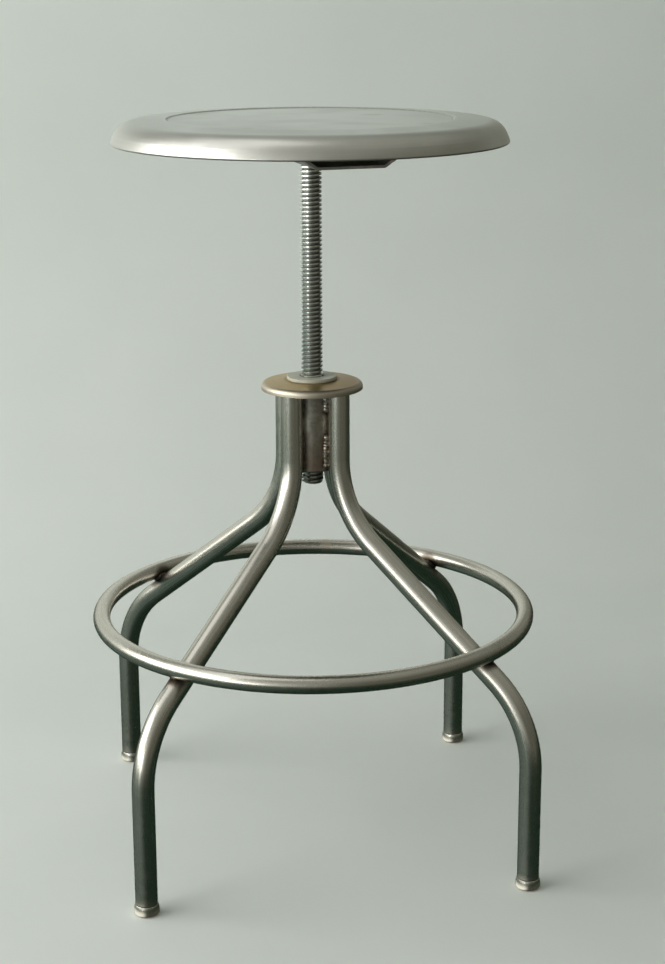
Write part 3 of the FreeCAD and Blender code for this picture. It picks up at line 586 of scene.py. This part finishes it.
def channel_sheet(name):
    sh = Shader(name)
    x, y, z = sh.coords()
    a = math.radians(-8.75)
    c, s = math.cos(a), math.sin(a)
    lx, ly = x * c - y * s, x * s + y * c
    grain = sh.noise(sh.combine(lx * 2.4, ly * 0.05, z * 2.4), 1.0, 3.0, 0.6)
    cloud = sh.noise(sh.point(), 0.05, 4.0, 0.6)
    small = sh.noise(sh.point(), 0.35, 4.0, 0.65)
    worn = sh.edge(0.0012)
    base = sh.mix(cloud.step(0.3, 0.7), (0.50, 0.49, 0.455), (0.60, 0.59, 0.56))
    base = sh.mix(grain.step(0.3, 0.7) * 0.3, base, (0.66, 0.65, 0.62))
    # dark brown film in patches over the sheet; the mask flat, for the hollow side that faces
    # the seat, is worked out but not used
    flat = z.step(650.9, 651.6)
    dirt = (cloud * 0.6 + small * 0.4).step(0.36, 0.60)
    base = sh.mix(dirt * 0.35, base, (0.22, 0.17, 0.13))
    rust = sh.noise(sh.point(), 0.09, 5.0, 0.7).step(0.56, 0.70)
    base = sh.mix(rust * 0.55, base, (0.20, 0.085, 0.045))
    base = sh.mix(worn * 0.6, base, (0.74, 0.73, 0.71))
    rough = 0.36 + cloud * 0.12 + rust * 0.30 + dirt * 0.08 - worn * 0.10
    metal = 1.0 - rust * 0.75
    normal = sh.bump(grain * 0.7 + rust * small, 0.35, 0.00008, under=sh.rounded(0.0009))
    return sh.surface(Base_Color=base, Metallic=metal, Roughness=rough, Normal=normal)


def hub_barrel(name):
    sh = Shader(name)
    x, y, z = sh.coords()
    lathe = sh.noise(sh.combine(x * 0.02, y * 0.02, z * 3.2), 1.0, 3.0, 0.6)
    cloud = sh.noise(sh.point(), 0.10, 4.0, 0.6)
    small = sh.noise(sh.point(), 0.5, 3.0, 0.6)
    hub, contact = weld_distance(sh)
    wobble = (sh.noise(sh.point(), 0.30, 3.0, 0.6) - 0.5) * 4.0
    near = (((hub + wobble) - 1.0) / 9.0).clamp()
    base = sh.mix(cloud.step(0.3, 0.7), (0.420, 0.392, 0.338), (0.540, 0.510, 0.450))
    base = sh.mix(lathe.step(0.3, 0.7) * 0.25, base, (0.46, 0.45, 0.42))
    # heat colours: brown low down, slate blue under the cap
    brown = z.step(398.0, 366.0) * (0.55 + 0.45 * cloud.step(0.25, 0.65))
    base = sh.mix(brown * 0.75, base, (0.310, 0.215, 0.165))
    patchy = sh.noise(sh.point(), 0.22, 3.0, 0.6).step(0.42, 0.60)
    base = sh.mix(patchy * 0.35, base, (0.240, 0.185, 0.158))
    blue = z.step(414.0, 432.0) * small.step(0.2, 0.8)
    base = sh.mix(blue * 0.45, base, (0.190, 0.205, 0.235))
    tinted = tint_of(sh, base, near)
    base = sh.mix(near.step(1.0, 0.2) * 0.35, base, tinted)
    rough = 0.36 + cloud * 0.12 + near.step(1.0, 0.2) * 0.14
    # painted shade: the bore is painted near black
    bore_shade = sh.math("SQRT", x * x + y * y).step(14.0, 12.0)
    base = sh.mix(bore_shade * 0.7, base, (0.10, 0.095, 0.085))
    worn = sh.edge(0.0008)
    base = sh.mix(worn * 0.35, base, (0.62, 0.60, 0.56))
    normal = sh.bump(lathe * 0.6 + small * 0.4, 0.35, 0.00008, under=sh.rounded(0.0006))
    return sh.surface(Base_Color=base, Metallic=1.0, Roughness=rough, Normal=normal)


def screw_steel(name):
    sh = Shader(name)
    x, y, z = sh.coords()
    r = sh.math("SQRT", x * x + y * y)
    root = r.step(9.55, 8.0)
    crest = r.step(9.70, 9.97)
    thread = z.step(646.5, 645.0)
    small = sh.noise(sh.point(), 0.45, 4.0, 0.62)
    cloud = sh.noise(sh.point(), 0.045, 3.0, 0.6)
    turnmark = sh.noise(sh.combine(x * 0.10, y * 0.10, z * 4.5), 1.0, 2.0, 0.6)
    base = sh.mix(cloud.step(0.3, 0.7), (0.490, 0.515, 0.475), (0.600, 0.620, 0.580))
    base = sh.mix(small.step(0.35, 0.75) * 0.30, base, (0.38, 0.39, 0.36))
    # old grease and grey paste in the roots, and the crests painted bright: a painted highlight
    paste = root * (0.45 + small * 0.55) * thread
    base = sh.mix(paste * 0.90, base, (0.060, 0.060, 0.048))
    base = sh.mix(crest * (0.55 + cloud * 0.4), base, (0.83, 0.85, 0.81))
    rust = sh.noise(sh.point(), 0.22, 5.0, 0.7).step(0.63, 0.74)
    base = sh.mix(rust * 0.22 * (1.0 - crest), base, (0.20, 0.130, 0.075))
    oily = z.step(440.0, 400.0) * (1.0 - crest * 0.4)
    base = sh.mix(oily * 0.60, base, (0.135, 0.135, 0.108))
    rough = 0.17 + small * 0.08 + paste * 0.28 - crest * 0.03 + rust * 0.2
    metal = 1.0 - (paste * 0.35).high(rust * 0.5)
    normal = sh.bump(turnmark * 0.6 + small * 0.6, 0.35, 0.00006)
    return sh.surface(Base_Color=base, Metallic=metal, Roughness=rough, Normal=normal)


def zinc(name):
    sh = Shader(name)
    small = sh.noise(sh.point(), 0.9, 4.0, 0.6)
    cloud = sh.noise(sh.point(), 0.14, 3.0, 0.6)
    spangle = sh.voronoi(sh.point(), 0.55, output="Color")
    spx, spy, spz = sh.split(spangle)
    worn = sh.edge(0.0008)
    base = sh.mix(cloud.step(0.3, 0.7), (0.500, 0.515, 0.525), (0.620, 0.625, 0.620))
    base = sh.mix(spx * 0.22, base, (0.68, 0.66, 0.57))
    base = sh.mix(worn * 0.6, base, (0.78, 0.78, 0.77))
    grime_and_shade = small.step(0.55, 0.78)
    base = sh.mix(grime_and_shade * 0.35, base, (0.26, 0.24, 0.20))
    rough = 0.30 + cloud * 0.14 + spy * 0.06 + grime_and_shade * 0.15 - worn * 0.08
    normal = sh.bump(small * 0.6 + spz * 0.2, 0.30, 0.00006, under=sh.rounded(0.0005))
    return sh.surface(Base_Color=base, Metallic=1.0, Roughness=rough, Normal=normal)


def weld_metal(name):
    sh = Shader(name)
    x, y, z = sh.coords()
    small = sh.noise(sh.point(), 0.9, 4.0, 0.65)
    cloud = sh.noise(sh.point(), 0.16, 4.0, 0.65)
    ripple = sh.attribute("ripple")
    tint = (cloud * 0.75 + small * 0.25).step(0.30, 0.72)
    base = sh.ramp(
        tint,
        [
            (0.00, (0.095, 0.076, 0.060)),
            (0.25, (0.205, 0.155, 0.110)),
            (0.45, (0.360, 0.300, 0.215)),
            (0.62, (0.300, 0.295, 0.305)),
            (0.80, (0.470, 0.440, 0.380)),
            (1.00, (0.560, 0.545, 0.510)),
        ],
    )
    base = sh.mix((1.0 - ripple) * 0.80, base, (0.060, 0.046, 0.036))
    base = sh.mix(ripple.step(0.80, 1.0) * cloud.step(0.4, 0.6) * 0.45, base, (0.66, 0.63, 0.58))
    # the nuggets under the ring stay dark with burnt scale
    dark = z.step(260.0, 240.0)
    base = sh.mix(dark * 0.78, base, (0.075, 0.058, 0.046))
    rough = 0.30 + small * 0.20 + (1.0 - ripple) * 0.22 + dark * 0.10
    normal = sh.bump(small * 0.5 + ripple * 0.5, 0.40, 0.00015)
    return sh.surface(Base_Color=base, Metallic=1.0, Roughness=rough, Normal=normal)


def cap_plate(name):
    """Champagne-toned plate with turned lines and a rim painted bright, a painted highlight."""
    sh = Shader(name)
    x, y, z = sh.coords()
    r = sh.math("SQRT", x * x + y * y)
    ux, uy = x / r.high(0.5), y / r.high(0.5)
    lines = sh.noise(sh.combine(ux * 0.7, uy * 0.7, r * 3.0), 1.0, 3.0, 0.6)
    bands = sh.noise(sh.combine(ux * 0.3, uy * 0.3, r * 0.5), 1.0, 2.0, 0.5)
    cloud = sh.noise(sh.point(), 0.06, 4.0, 0.6)
    small = sh.noise(sh.point(), 0.5, 4.0, 0.62)
    scratch = sh.noise(
        sh.combine(x * 0.12 + y * 0.9, y * 0.12 - x * 0.9, z), 1.0, 1.0, 0.4, warp=0.6
    ).step(0.72, 0.77)
    base = sh.mix(cloud.step(0.3, 0.7), (0.415, 0.300, 0.138), (0.500, 0.375, 0.182))
    base = sh.mix(bands.step(0.3, 0.7) * 0.30, base, (0.480, 0.325, 0.150))
    base = sh.mix(lines.step(0.3, 0.7) * 0.20, base, (0.690, 0.570, 0.370))
    base = sh.mix(scratch * 0.45, base, (0.70, 0.66, 0.55))
    # painted shade: the plate is painted darker and browner towards one side (+x), where it
    # falls away from the light
    film_and_shade = (x + (cloud - 0.5) * 14.0).step(-8.0, 36.0)
    base = sh.mix(film_and_shade * 0.84, base, (0.265, 0.172, 0.068))
    # painted highlight: the rim is painted bright
    edge = r.step(41.0, 47.2)
    base = sh.mix(edge * (0.66 + small * 0.2), base, (0.665, 0.630, 0.555))
    # dirt ring where the bushing's flange meets the plate
    seat = ((r - 24.6).size()).step(2.2, 0.3) * small.step(0.25, 0.7)
    base = sh.mix(seat * 0.50, base, (0.190, 0.150, 0.090))
    # painted shade: the plate's underside is painted darker
    under = z.step(435.2, 434.5)
    hub, contact = weld_distance(sh)
    base = sh.mix(under * 0.5, base, (0.30, 0.26, 0.20))
    rough = 0.33 + cloud * 0.08 + lines * 0.05 + edge * 0.06 + seat * 0.2
    normal = sh.bump(lines * 0.7 + bands * 0.5 - scratch * 0.6, 0.25, 0.00005)
    return sh.surface(Base_Color=base, Metallic=1.0, Roughness=rough, Normal=normal)


def nickel(name):
    sh = Shader(name)
    x, y, z = sh.coords()
    small = sh.noise(sh.point(), 0.6, 4.0, 0.62)
    cloud = sh.noise(sh.point(), 0.12, 4.0, 0.6)
    drag = sh.noise(sh.combine(x * 0.25, y * 3.0, z * 0.6), 1.0, 2.0, 0.5).step(
        0.60, 0.70
    )
    sole = z.step(1.6, 0.1)
    base = sh.mix(cloud.step(0.3, 0.7), (0.775, 0.745, 0.665), (0.860, 0.835, 0.765))
    base = sh.mix(sole * (0.35 + drag * 0.4), base, (0.34, 0.30, 0.25))
    pits = sh.voronoi(sh.point(), 0.8).step(0.16, 0.06) * cloud.step(0.4, 0.6)
    base = sh.mix(pits * 0.5, base, (0.25, 0.20, 0.15))
    # a darker band at the ferrule's top, where it meets the tube: grime and painted shade
    grime_and_shade = z.step(8.4, 9.8) * small.step(0.3, 0.7)
    base = sh.mix(grime_and_shade * 0.5, base, (0.16, 0.14, 0.11))
    rough = 0.19 + cloud * 0.08 + small * 0.05 + sole * 0.20 + grime_and_shade * 0.2
    normal = sh.bump(small * 0.4 + drag * sole * 0.8, 0.30, 0.00008)
    return sh.surface(Base_Color=base, Metallic=1.0, Roughness=rough, Normal=normal)


def nylon(name):
    sh = Shader(name)
    x, y, z = sh.coords()
    r = sh.math("SQRT", x * x + y * y)
    small = sh.noise(sh.point(), 1.6, 4.0, 0.6)
    cloud = sh.noise(sh.point(), 0.10, 4.0, 0.6)
    ux, uy = x / r.high(0.5), y / r.high(0.5)
    swirl = sh.noise(sh.combine(ux * 1.5, uy * 1.5, r * 1.6), 1.0, 2.0, 0.5)
    base = sh.mix(cloud.step(0.3, 0.7), (0.470, 0.480, 0.390), (0.580, 0.590, 0.500))
    base = sh.mix(swirl.step(0.3, 0.7) * 0.25, base, (0.62, 0.62, 0.54))
    # grey wear and grease where the screw runs through
    bore = r.step(13.2, 10.4)
    base = sh.mix(bore * (0.45 + small * 0.4), base, (0.130, 0.120, 0.095))
    speck = sh.voronoi(sh.point(), 0.7).step(0.14, 0.07) * cloud.step(0.38, 0.6)
    base = sh.mix(speck * 0.45, base, (0.27, 0.24, 0.17))
    rim = ((r - 22.9).size()).step(1.6, 0.2)
    base = sh.mix(rim * small * 0.45, base, (0.40, 0.36, 0.26))
    rough = 0.42 + small * 0.14 + bore * 0.12
    normal = sh.bump(small * 0.5 + swirl * 0.5, 0.30, 0.00010)
    return sh.surface(
        Base_Color=base,
        Metallic=0.0,
        Roughness=rough,
        Normal=normal,
        IOR=1.53,
        Subsurface_Weight=0.18,
        Subsurface_Radius=(0.004, 0.0036, 0.0028),
        Subsurface_Scale=1.0,
    )


def rubber(name):
    sh = Shader(name)
    x, y, z = sh.coords()
    small = sh.noise(sh.point(), 1.4, 5.0, 0.65)
    cloud = sh.noise(sh.point(), 0.2, 4.0, 0.6)
    base = sh.mix(cloud.step(0.3, 0.7), (0.016, 0.016, 0.015), (0.040, 0.039, 0.036))
    dust = small.step(0.50, 0.80)
    base = sh.mix(dust * 0.35, base, (0.15, 0.135, 0.11))
    rough = 0.52 + cloud * 0.16 + dust * 0.15
    normal = sh.bump(small, 0.35, 0.00015)
    return sh.surface(
        Base_Color=base, Metallic=0.0, Roughness=rough, Normal=normal, IOR=1.5
    )


finish = {
    "seat_steel": seat_sheet("satin_seat_sheet"),
    "channel_steel": channel_sheet("pressed_channel_sheet"),
    "hub_steel": hub_barrel("heat_marked_hub"),
    "thread_steel": screw_steel("cut_screw_steel"),
    "fastener_zinc": zinc("plated_fastener"),
    "weld_metal": weld_metal("weld_bead_metal"),
    "cap_metal": cap_plate("champagne_plate"),
    "ferrule_nickel": nickel("worn_nickel"),
    "bushing_nylon": nylon("aged_nylon"),
    "insert_plastic": rubber("dark_insert"),
    "frame_tube": tube_steel("satin_tube"),
}
finish_ring = tube_steel("satin_ring_tube", ring_scuffs=True)
slot_of = {s["node"]: s.get("material_slot") for s in frame["record"]["subparts"]}
for name, o in nodes.items():
    slot = slot_of.get(name) or o.data.materials[0].name.split(".")[0]
    material = finish_ring if name == "foot_ring" else finish[slot]
    for i in range(len(o.material_slots)):
        o.data.materials[i] = material


# ------------------------------------------------------------------ weld beads
def value_noise(seed):
    """A repeatable smooth random curve of one variable, about -1 to 1."""
    rng = np.random.RandomState(seed)
    table = rng.uniform(-1, 1, 512)

    def at(t):
        t = np.asarray(t, float)
        i = np.floor(t).astype(int)
        f = t - i
        f = f * f * (3 - 2 * f)
        return table[i % 512] * (1 - f) + table[(i + 1) % 512] * f

    return at


def scallop(phase):
    """Stacked-coin profile: full in the middle of each ripple, a sharp valley between."""
    f = phase - np.floor(phase)
    return np.sqrt(np.clip(1.0 - (2.0 * f - 1.0) ** 2, 0.0, 1.0))


def bead_mesh(name, strips, material, body, stands_for):
    """One mesh from several swept beads. Each strip is (rings, closed): rings is an
    array (n, k, 3) in metres with ripple values (n, k)."""
    verts, faces, ripple = [], [], []
    for rings, values, closed in strips:
        n, k = rings.shape[:2]
        base = len(verts)
        verts += [tuple(v) for v in rings.reshape(-1, 3)]
        ripple += list(values.reshape(-1))
        for i in range(n if closed else n - 1):
            a, b = base + i * k, base + ((i + 1) % n) * k
            for j in range(k):
                m = (j + 1) % k
                faces.append((a + j, a + m, b + m, b + j))
        if not closed:
            for end, order in ((0, 1), (n - 1, -1)):
                centre = len(verts)
                verts.append(tuple(rings[end].mean(0)))
                ripple.append(float(values[end].mean()))
                ringstart = base + end * k
                for j in range(k):
                    m = (j + 1) % k
                    tri = (centre, ringstart + m, ringstart + j)
                    faces.append(tri if order > 0 else (tri[0], tri[2], tri[1]))
    mesh = bpy.data.meshes.new(name)
    mesh.from_pydata(verts, [], faces)
    mesh.validate()
    bm = bmesh.new()
    bm.from_mesh(mesh)
    bmesh.ops.recalc_face_normals(bm, faces=bm.faces)
    bm.to_mesh(mesh)
    bm.free()
    for poly in mesh.polygons:
        poly.use_smooth = True
    a = mesh.attributes.new("ripple", "FLOAT", "POINT")
    a.data.foreach_set("value", np.array(ripple, np.float32))
    o = bpy.data.objects.new(name, mesh)
    scene.collection.objects.link(o)
    mesh.materials.append(material)
    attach(o, body)
    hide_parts(stands_for)
    return o


def hub_bead(low, high, turn, side, seed):
    """A fillet run up the notch between the barrel and a leg, in metres. The runs on
    one side of each leg are full and lumpy, and those on the other are lean."""
    wander, swell = value_noise(seed), value_noise(seed + 77)
    full = side < 0
    step = 0.22
    z = np.arange(low - 2.4, high + 2.4 + step / 2, step)
    k = 32
    psi = np.arange(k) * 2 * math.pi / k
    end = np.minimum(z - z[0], z[-1] - z)
    round_off = np.sqrt(np.clip(1 - (1 - np.clip(end / 3.0, 0, 1)) ** 2, 0.0009, 1))
    rings = np.zeros((len(z), k, 3))
    values = np.zeros((len(z), k))
    pitch = 4.6 if full else 3.1
    body = 3.95 if full else 2.0
    for i, h in enumerate(z):
        lag = 0.38 * (1 - np.cos(psi))
        phase = h / pitch + lag + 0.55 * wander(h / 4.4)
        sc = scallop(phase)
        lump = 0.42 * swell(h / 4.3) + 0.18 * swell(h / 1.6 + 60)
        dimple = 0.10 * np.sin(3 * psi + 2.1 * wander(h / 2.2 + 15))
        radius = (body + lump + dimple + 0.34 * sc) * round_off[i]
        r = (21.7 if full else 21.2) + 0.35 * wander(h / 5.0 + 40)
        r = r + radius * np.sin(psi) * 0.95
        t = side * (
            (6.5 if full else 5.2) + 0.40 * swell(h / 6.0 + 90) + radius * np.cos(psi)
        )
        c, s = math.cos(turn), math.sin(turn)
        rings[i, :, 0] = (r * c - t * s) / 1000
        rings[i, :, 1] = (r * s + t * c) / 1000
        rings[i, :, 2] = h / 1000
        values[i] = sc if full else 0.30 * sc
    return rings, values, False


strips, seed = [], 11
for eighths in LEGS.values():
    for side in (1, -1):
        for low, high in ((364.0, 392.0), (416.0, 432.0)):
            strips.append(hub_bead(low, high, eighths * LEG_TURN, side, seed))
            seed += 13
bead_mesh(
    "hub_weld_beads", strips, finish["weld_metal"], "base", "hub_welds"
)


def ring_bead(turn, seed):
    """A closed bead round the place where the ring rests on a leg, in metres."""
    slope = math.atan2(SLOPE_FROM[1] - SLOPE_TO[1], SLOPE_TO[0] - SLOPE_FROM[0])
    # outward normal of the leg in its plane, pointing up to the ring
    normal = np.array([math.sin(slope), 0.0, math.cos(slope)])
    along = np.array([math.cos(slope), 0.0, -math.sin(slope)])
    across = np.array([0.0, 1.0, 0.0])
    contact = np.array(
        [RING_R - RING_TUBE * normal[0], 0.0, RING_Z - RING_TUBE * normal[2]]
    )
    wander, swell = value_noise(seed), value_noise(seed + 31)
    n, k = 150, 24
    count = 12
    theta = np.arange(n) * 2 * math.pi / n
    psi = np.arange(k) * 2 * math.pi / k
    rings = np.zeros((n, k, 3))
    values = np.zeros((n, k))
    for i, th in enumerate(theta):
        turns = th / (2 * math.pi)
        phase = turns * count + 0.38 * (1 - np.cos(psi)) + 0.12 * math.sin(3 * th + seed)
        sc = scallop(phase)
        uneven = 0.35 * math.sin(2 * th + seed * 1.7) + 0.25 * math.sin(3 * th + seed)
        a, b = 4.7 + uneven, 4.2 + uneven
        lift_leg = (b * math.sin(th)) ** 2 / (2 * LEG_TUBE)
        lift_ring = (a * math.cos(th)) ** 2 / (2 * RING_TUBE)
        # the bead sits half-way between the two tubes' skins
        mid = 0.5 * (lift_ring - lift_leg)
        minor = 2.35 + 0.12 * math.sin(5 * th + seed) + 0.28 * sc
        out = along * math.cos(th) * a + across * math.sin(th) * b
        out_dir = along * math.cos(th) + across * math.sin(th)
        centre = contact + out + normal * mid
        place = (
            centre[None, :]
            + (minor * np.cos(psi))[:, None] * out_dir[None, :]
            + (minor * np.sin(psi))[:, None] * normal[None, :]
        )
        c, s = math.cos(turn), math.sin(turn)
        rings[i, :, 0] = (place[:, 0] * c - place[:, 1] * s) / 1000
        rings[i, :, 1] = (place[:, 0] * s + place[:, 1] * c) / 1000
        rings[i, :, 2] = place[:, 2] / 1000
        values[i] = sc
    return rings, values, True


strips = [
    ring_bead(eighths * LEG_TURN, 5 + 9 * i) for i, eighths in enumerate(LEGS.values())
]
bead_mesh(
    "ring_weld_beads", strips, finish["weld_metal"], "base", "ring_welds"
)


# ------------------------------------------------------------- floor and cove
def studio_floor():
    """A pale floor that sweeps up into a pale wall behind, as one sheet."""
    far, radius, height, wide, front = 1.15, 0.55, 2.6, 5.0, -4.0
    profile = [(front, 0.0), (-2.5, 0.0), (-1.0, 0.0), (0.0, 0.0), (far - radius, 0.0)]
    for i in range(1, 25):
        a = math.pi / 2 * i / 24
        profile.append(
            (far - radius + radius * math.sin(a), radius - radius * math.cos(a))
        )
    profile += [(far, 1.2), (far, height)]
    verts, faces = [], []
    xs = np.linspace(-wide, wide, 9)
    for y, z in profile:
        for x in xs:
            verts.append((float(x), y, z))
    n = len(xs)
    for i in range(len(profile) - 1):
        for j in range(n - 1):
            a = i * n + j
            faces.append((a, a + 1, a + n + 1, a + n))
    mesh = bpy.data.meshes.new("studio_floor")
    mesh.from_pydata(verts, [], faces)
    for poly in mesh.polygons:
        poly.use_smooth = True
    o = bpy.data.objects.new("studio_floor", mesh)
    scene.collection.objects.link(o)
    sh = Shader("pale_floor")
    x, y, z = sh.coords()
    soft = sh.noise(sh.point(), 0.004, 3.0, 0.5)
    seen = sh.mix(soft.step(0.3, 0.7), (0.686, 0.730, 0.705), (0.711, 0.754, 0.730))
    sh.surface(Base_Color=seen, Roughness=0.85, Metallic=0.0)
    lit = sh.out.inputs["Surface"].links[0].from_socket
    # painted reflection: glossy rays see a glowing, darker room floor instead of the pale one.
    # It has a painted sheen when looked at towards the window, and both the floor and the wall
    # they see fall off to the right
    geo = sh.node("ShaderNodeNewGeometry")
    ix, iy, iz = sh.split(Val(sh, geo.outputs["Incoming"]))
    ground = z.step(110.0, 300.0)
    away = sh.math("SQRT", x * x + y * y).step(300.0, 1900.0)
    sheen = sh.mix(away, (0.100, 0.136, 0.118), (0.120, 0.178, 0.146))
    plain = sh.mix(away, (0.015, 0.030, 0.019), (0.045, 0.050, 0.038))
    plain = sh.mix(away * iy.step(0.1, 0.7), plain, (0.155, 0.155, 0.125))
    near_floor = sh.mix(ix.step(0.0, 0.80), plain, sheen)
    # right beside a foot reflected rays see a painted glow, bright towards the window and dark
    # away from it: a painted highlight on the feet
    path = sh.node("ShaderNodeLightPath")
    beside = Val(sh, path.outputs["Ray Length"]).step(0.034, 0.010) * 0.85
    pale = sh.mix(ix.step(0.02, 0.72), (0.070, 0.066, 0.054), (1.180, 1.150, 1.010))
    near_floor = sh.mix(beside, near_floor, pale)
    wall = sh.mix(x.step(60.0, 720.0), (0.735, 0.775, 0.715), (0.300, 0.315, 0.265))
    right = sh.mix(z.step(200.0, 620.0), (0.040, 0.044, 0.034), (0.235, 0.240, 0.200))
    wall = sh.mix(x.step(560.0, 1050.0), wall, right)
    wall = sh.mix(z.step(1040.0, 1600.0) * 0.72, wall, (0.180, 0.185, 0.165))
    mirrored = sh.mix(ground, near_floor, wall)
    glow = sh.node("ShaderNodeEmission")
    sh.put(glow.inputs["Color"], mirrored)
    pick = sh.node("ShaderNodeMixShader")
    sh.put(pick.inputs[0], path.outputs["Is Glossy Ray"])
    sh.put(pick.inputs[1], lit)
    sh.put(pick.inputs[2], glow.outputs[0])
    # the sheet has one side only for a camera, so it never hides the stool from
    # behind or from below
    behind = Val(sh, geo.outputs["Backfacing"]) * Val(sh, path.outputs["Is Camera Ray"])
    clear = sh.node("ShaderNodeBsdfTransparent")
    one_sided = sh.node("ShaderNodeMixShader")
    sh.put(one_sided.inputs[0], behind)
    sh.put(one_sided.inputs[1], pick.outputs[0])
    sh.put(one_sided.inputs[2], clear.outputs[0])
    sh.put(sh.out.inputs["Surface"], one_sided.outputs[0])
    mesh.materials.append(sh.material)
    o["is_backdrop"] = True


studio_floor()


# ---------------------------------------------------------------------- lights
def area(name, place, target, wide, tall, radiance, colour=(1, 1, 1)):
    lamp = bpy.data.lights.new(name, "AREA")
    lamp.shape = "RECTANGLE"
    lamp.size, lamp.size_y = wide, tall
    lamp.energy = radiance * math.pi * wide * tall
    lamp.color = colour
    o = bpy.data.objects.new(name, lamp)
    scene.collection.objects.link(o)
    direction = Vector(target) - Vector(place)
    o.location = place
    o.rotation_mode = "QUATERNION"
    o.rotation_quaternion = direction.to_track_quat("-Z", "Y")
    return o


area("window_left", (-2.3, -0.30, 1.15), (0, 0, 0.55), 2.5, 1.6, 3.2, (1.0, 0.985, 0.95))
area("low_front_left", (-1.95, -2.05, 0.48), (0.1, -0.1, 0.25), 0.9, 0.8, 3.0, (1.0, 0.99, 0.97))
area("overhead", (-1.5, -0.2, 2.8), (-0.5, 0.1, 0.3), 2.0, 3.0, 0.80, (0.98, 0.99, 1.0))

world = bpy.data.worlds.new("studio_world")
scene.world = world
world.use_nodes = True
wt = world.node_tree
wt.nodes.clear()
w_out = wt.nodes.new("ShaderNodeOutputWorld")
w_bg = wt.nodes.new("ShaderNodeBackground")
w_tc = wt.nodes.new("ShaderNodeTexCoord")
w_sep = wt.nodes.new("ShaderNodeSeparateXYZ")
wt.links.new(w_tc.outputs["Generated"], w_sep.inputs[0])
w_x = wt.nodes.new("ShaderNodeMapRange")
w_x.interpolation_type = "SMOOTHSTEP"
w_x.inputs["From Min"].default_value = -0.85
w_x.inputs["From Max"].default_value = 0.28
wt.links.new(w_sep.outputs[0], w_x.inputs["Value"])
w_side = wt.nodes.new("ShaderNodeMix")
w_side.data_type = "RGBA"
w_side.inputs[6].default_value = (0.82, 0.84, 0.79, 1)
w_side.inputs[7].default_value = (0.130, 0.130, 0.103, 1)
wt.links.new(w_x.outputs[0], w_side.inputs[0])
w_z = wt.nodes.new("ShaderNodeMapRange")
w_z.interpolation_type = "SMOOTHSTEP"
w_z.inputs["From Min"].default_value = 0.25
w_z.inputs["From Max"].default_value = 0.9
wt.links.new(w_sep.outputs[2], w_z.inputs["Value"])
w_up = wt.nodes.new("ShaderNodeMix")
w_up.data_type = "RGBA"
wt.links.new(w_side.outputs[2], w_up.inputs[6])
w_up.inputs[7].default_value = (0.32, 0.325, 0.285, 1)
wt.links.new(w_z.outputs[0], w_up.inputs[0])
# seen directly, past the edge of the backdrop, it carries on the floor's pale tone
w_path = wt.nodes.new("ShaderNodeLightPath")
w_seen = wt.nodes.new("ShaderNodeMix")
w_seen.data_type = "RGBA"
wt.links.new(w_path.outputs["Is Camera Ray"], w_seen.inputs[0])
wt.links.new(w_up.outputs[2], w_seen.inputs[6])
w_seen.inputs[7].default_value = (0.292, 0.314, 0.276, 1)
wt.links.new(w_seen.outputs[2], w_bg.inputs["Color"])
w_bg.inputs["Strength"].default_value = 1.0
wt.links.new(w_bg.outputs[0], w_out.inputs["Surface"])

# ---------------------------------------------------------------------- camera
cam_data = bpy.data.cameras.new("camera")
cam_data.lens = 71.66
cam_data.sensor_width = 36.0
cam_data.sensor_fit = "AUTO"
cam_data.clip_start, cam_data.clip_end = 0.05, 50.0
cam = bpy.data.objects.new("camera", cam_data)
scene.collection.objects.link(cam)
forward = Vector((0.13208, 0.95593, -0.26220)).normalized()
right = forward.cross(Vector((0, 0, 1))).normalized()
up = right.cross(forward)
roll = -0.0041
r2 = math.cos(roll) * right + math.sin(roll) * up
u2 = -math.sin(roll) * right + math.cos(roll) * up
cam.matrix_world = Matrix(
    (
        (r2.x, u2.x, -forward.x, -0.21998),
        (r2.y, u2.y, -forward.y, -1.72835),
        (r2.z, u2.z, -forward.z, 0.81693),
        (0, 0, 0, 1),
    )
)
scene.camera = cam

scene.view_settings.view_transform = "Standard"
scene.view_settings.look = "None"
scene.view_settings.exposure = 0.0
scene.view_settings.gamma = 1.0
scene.cycles.use_denoising = True
scene.cycles.max_bounces = 8
scene.cycles.diffuse_bounces = 3
scene.cycles.glossy_bounces = 5

bpy.context.view_layer.update()
low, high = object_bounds()
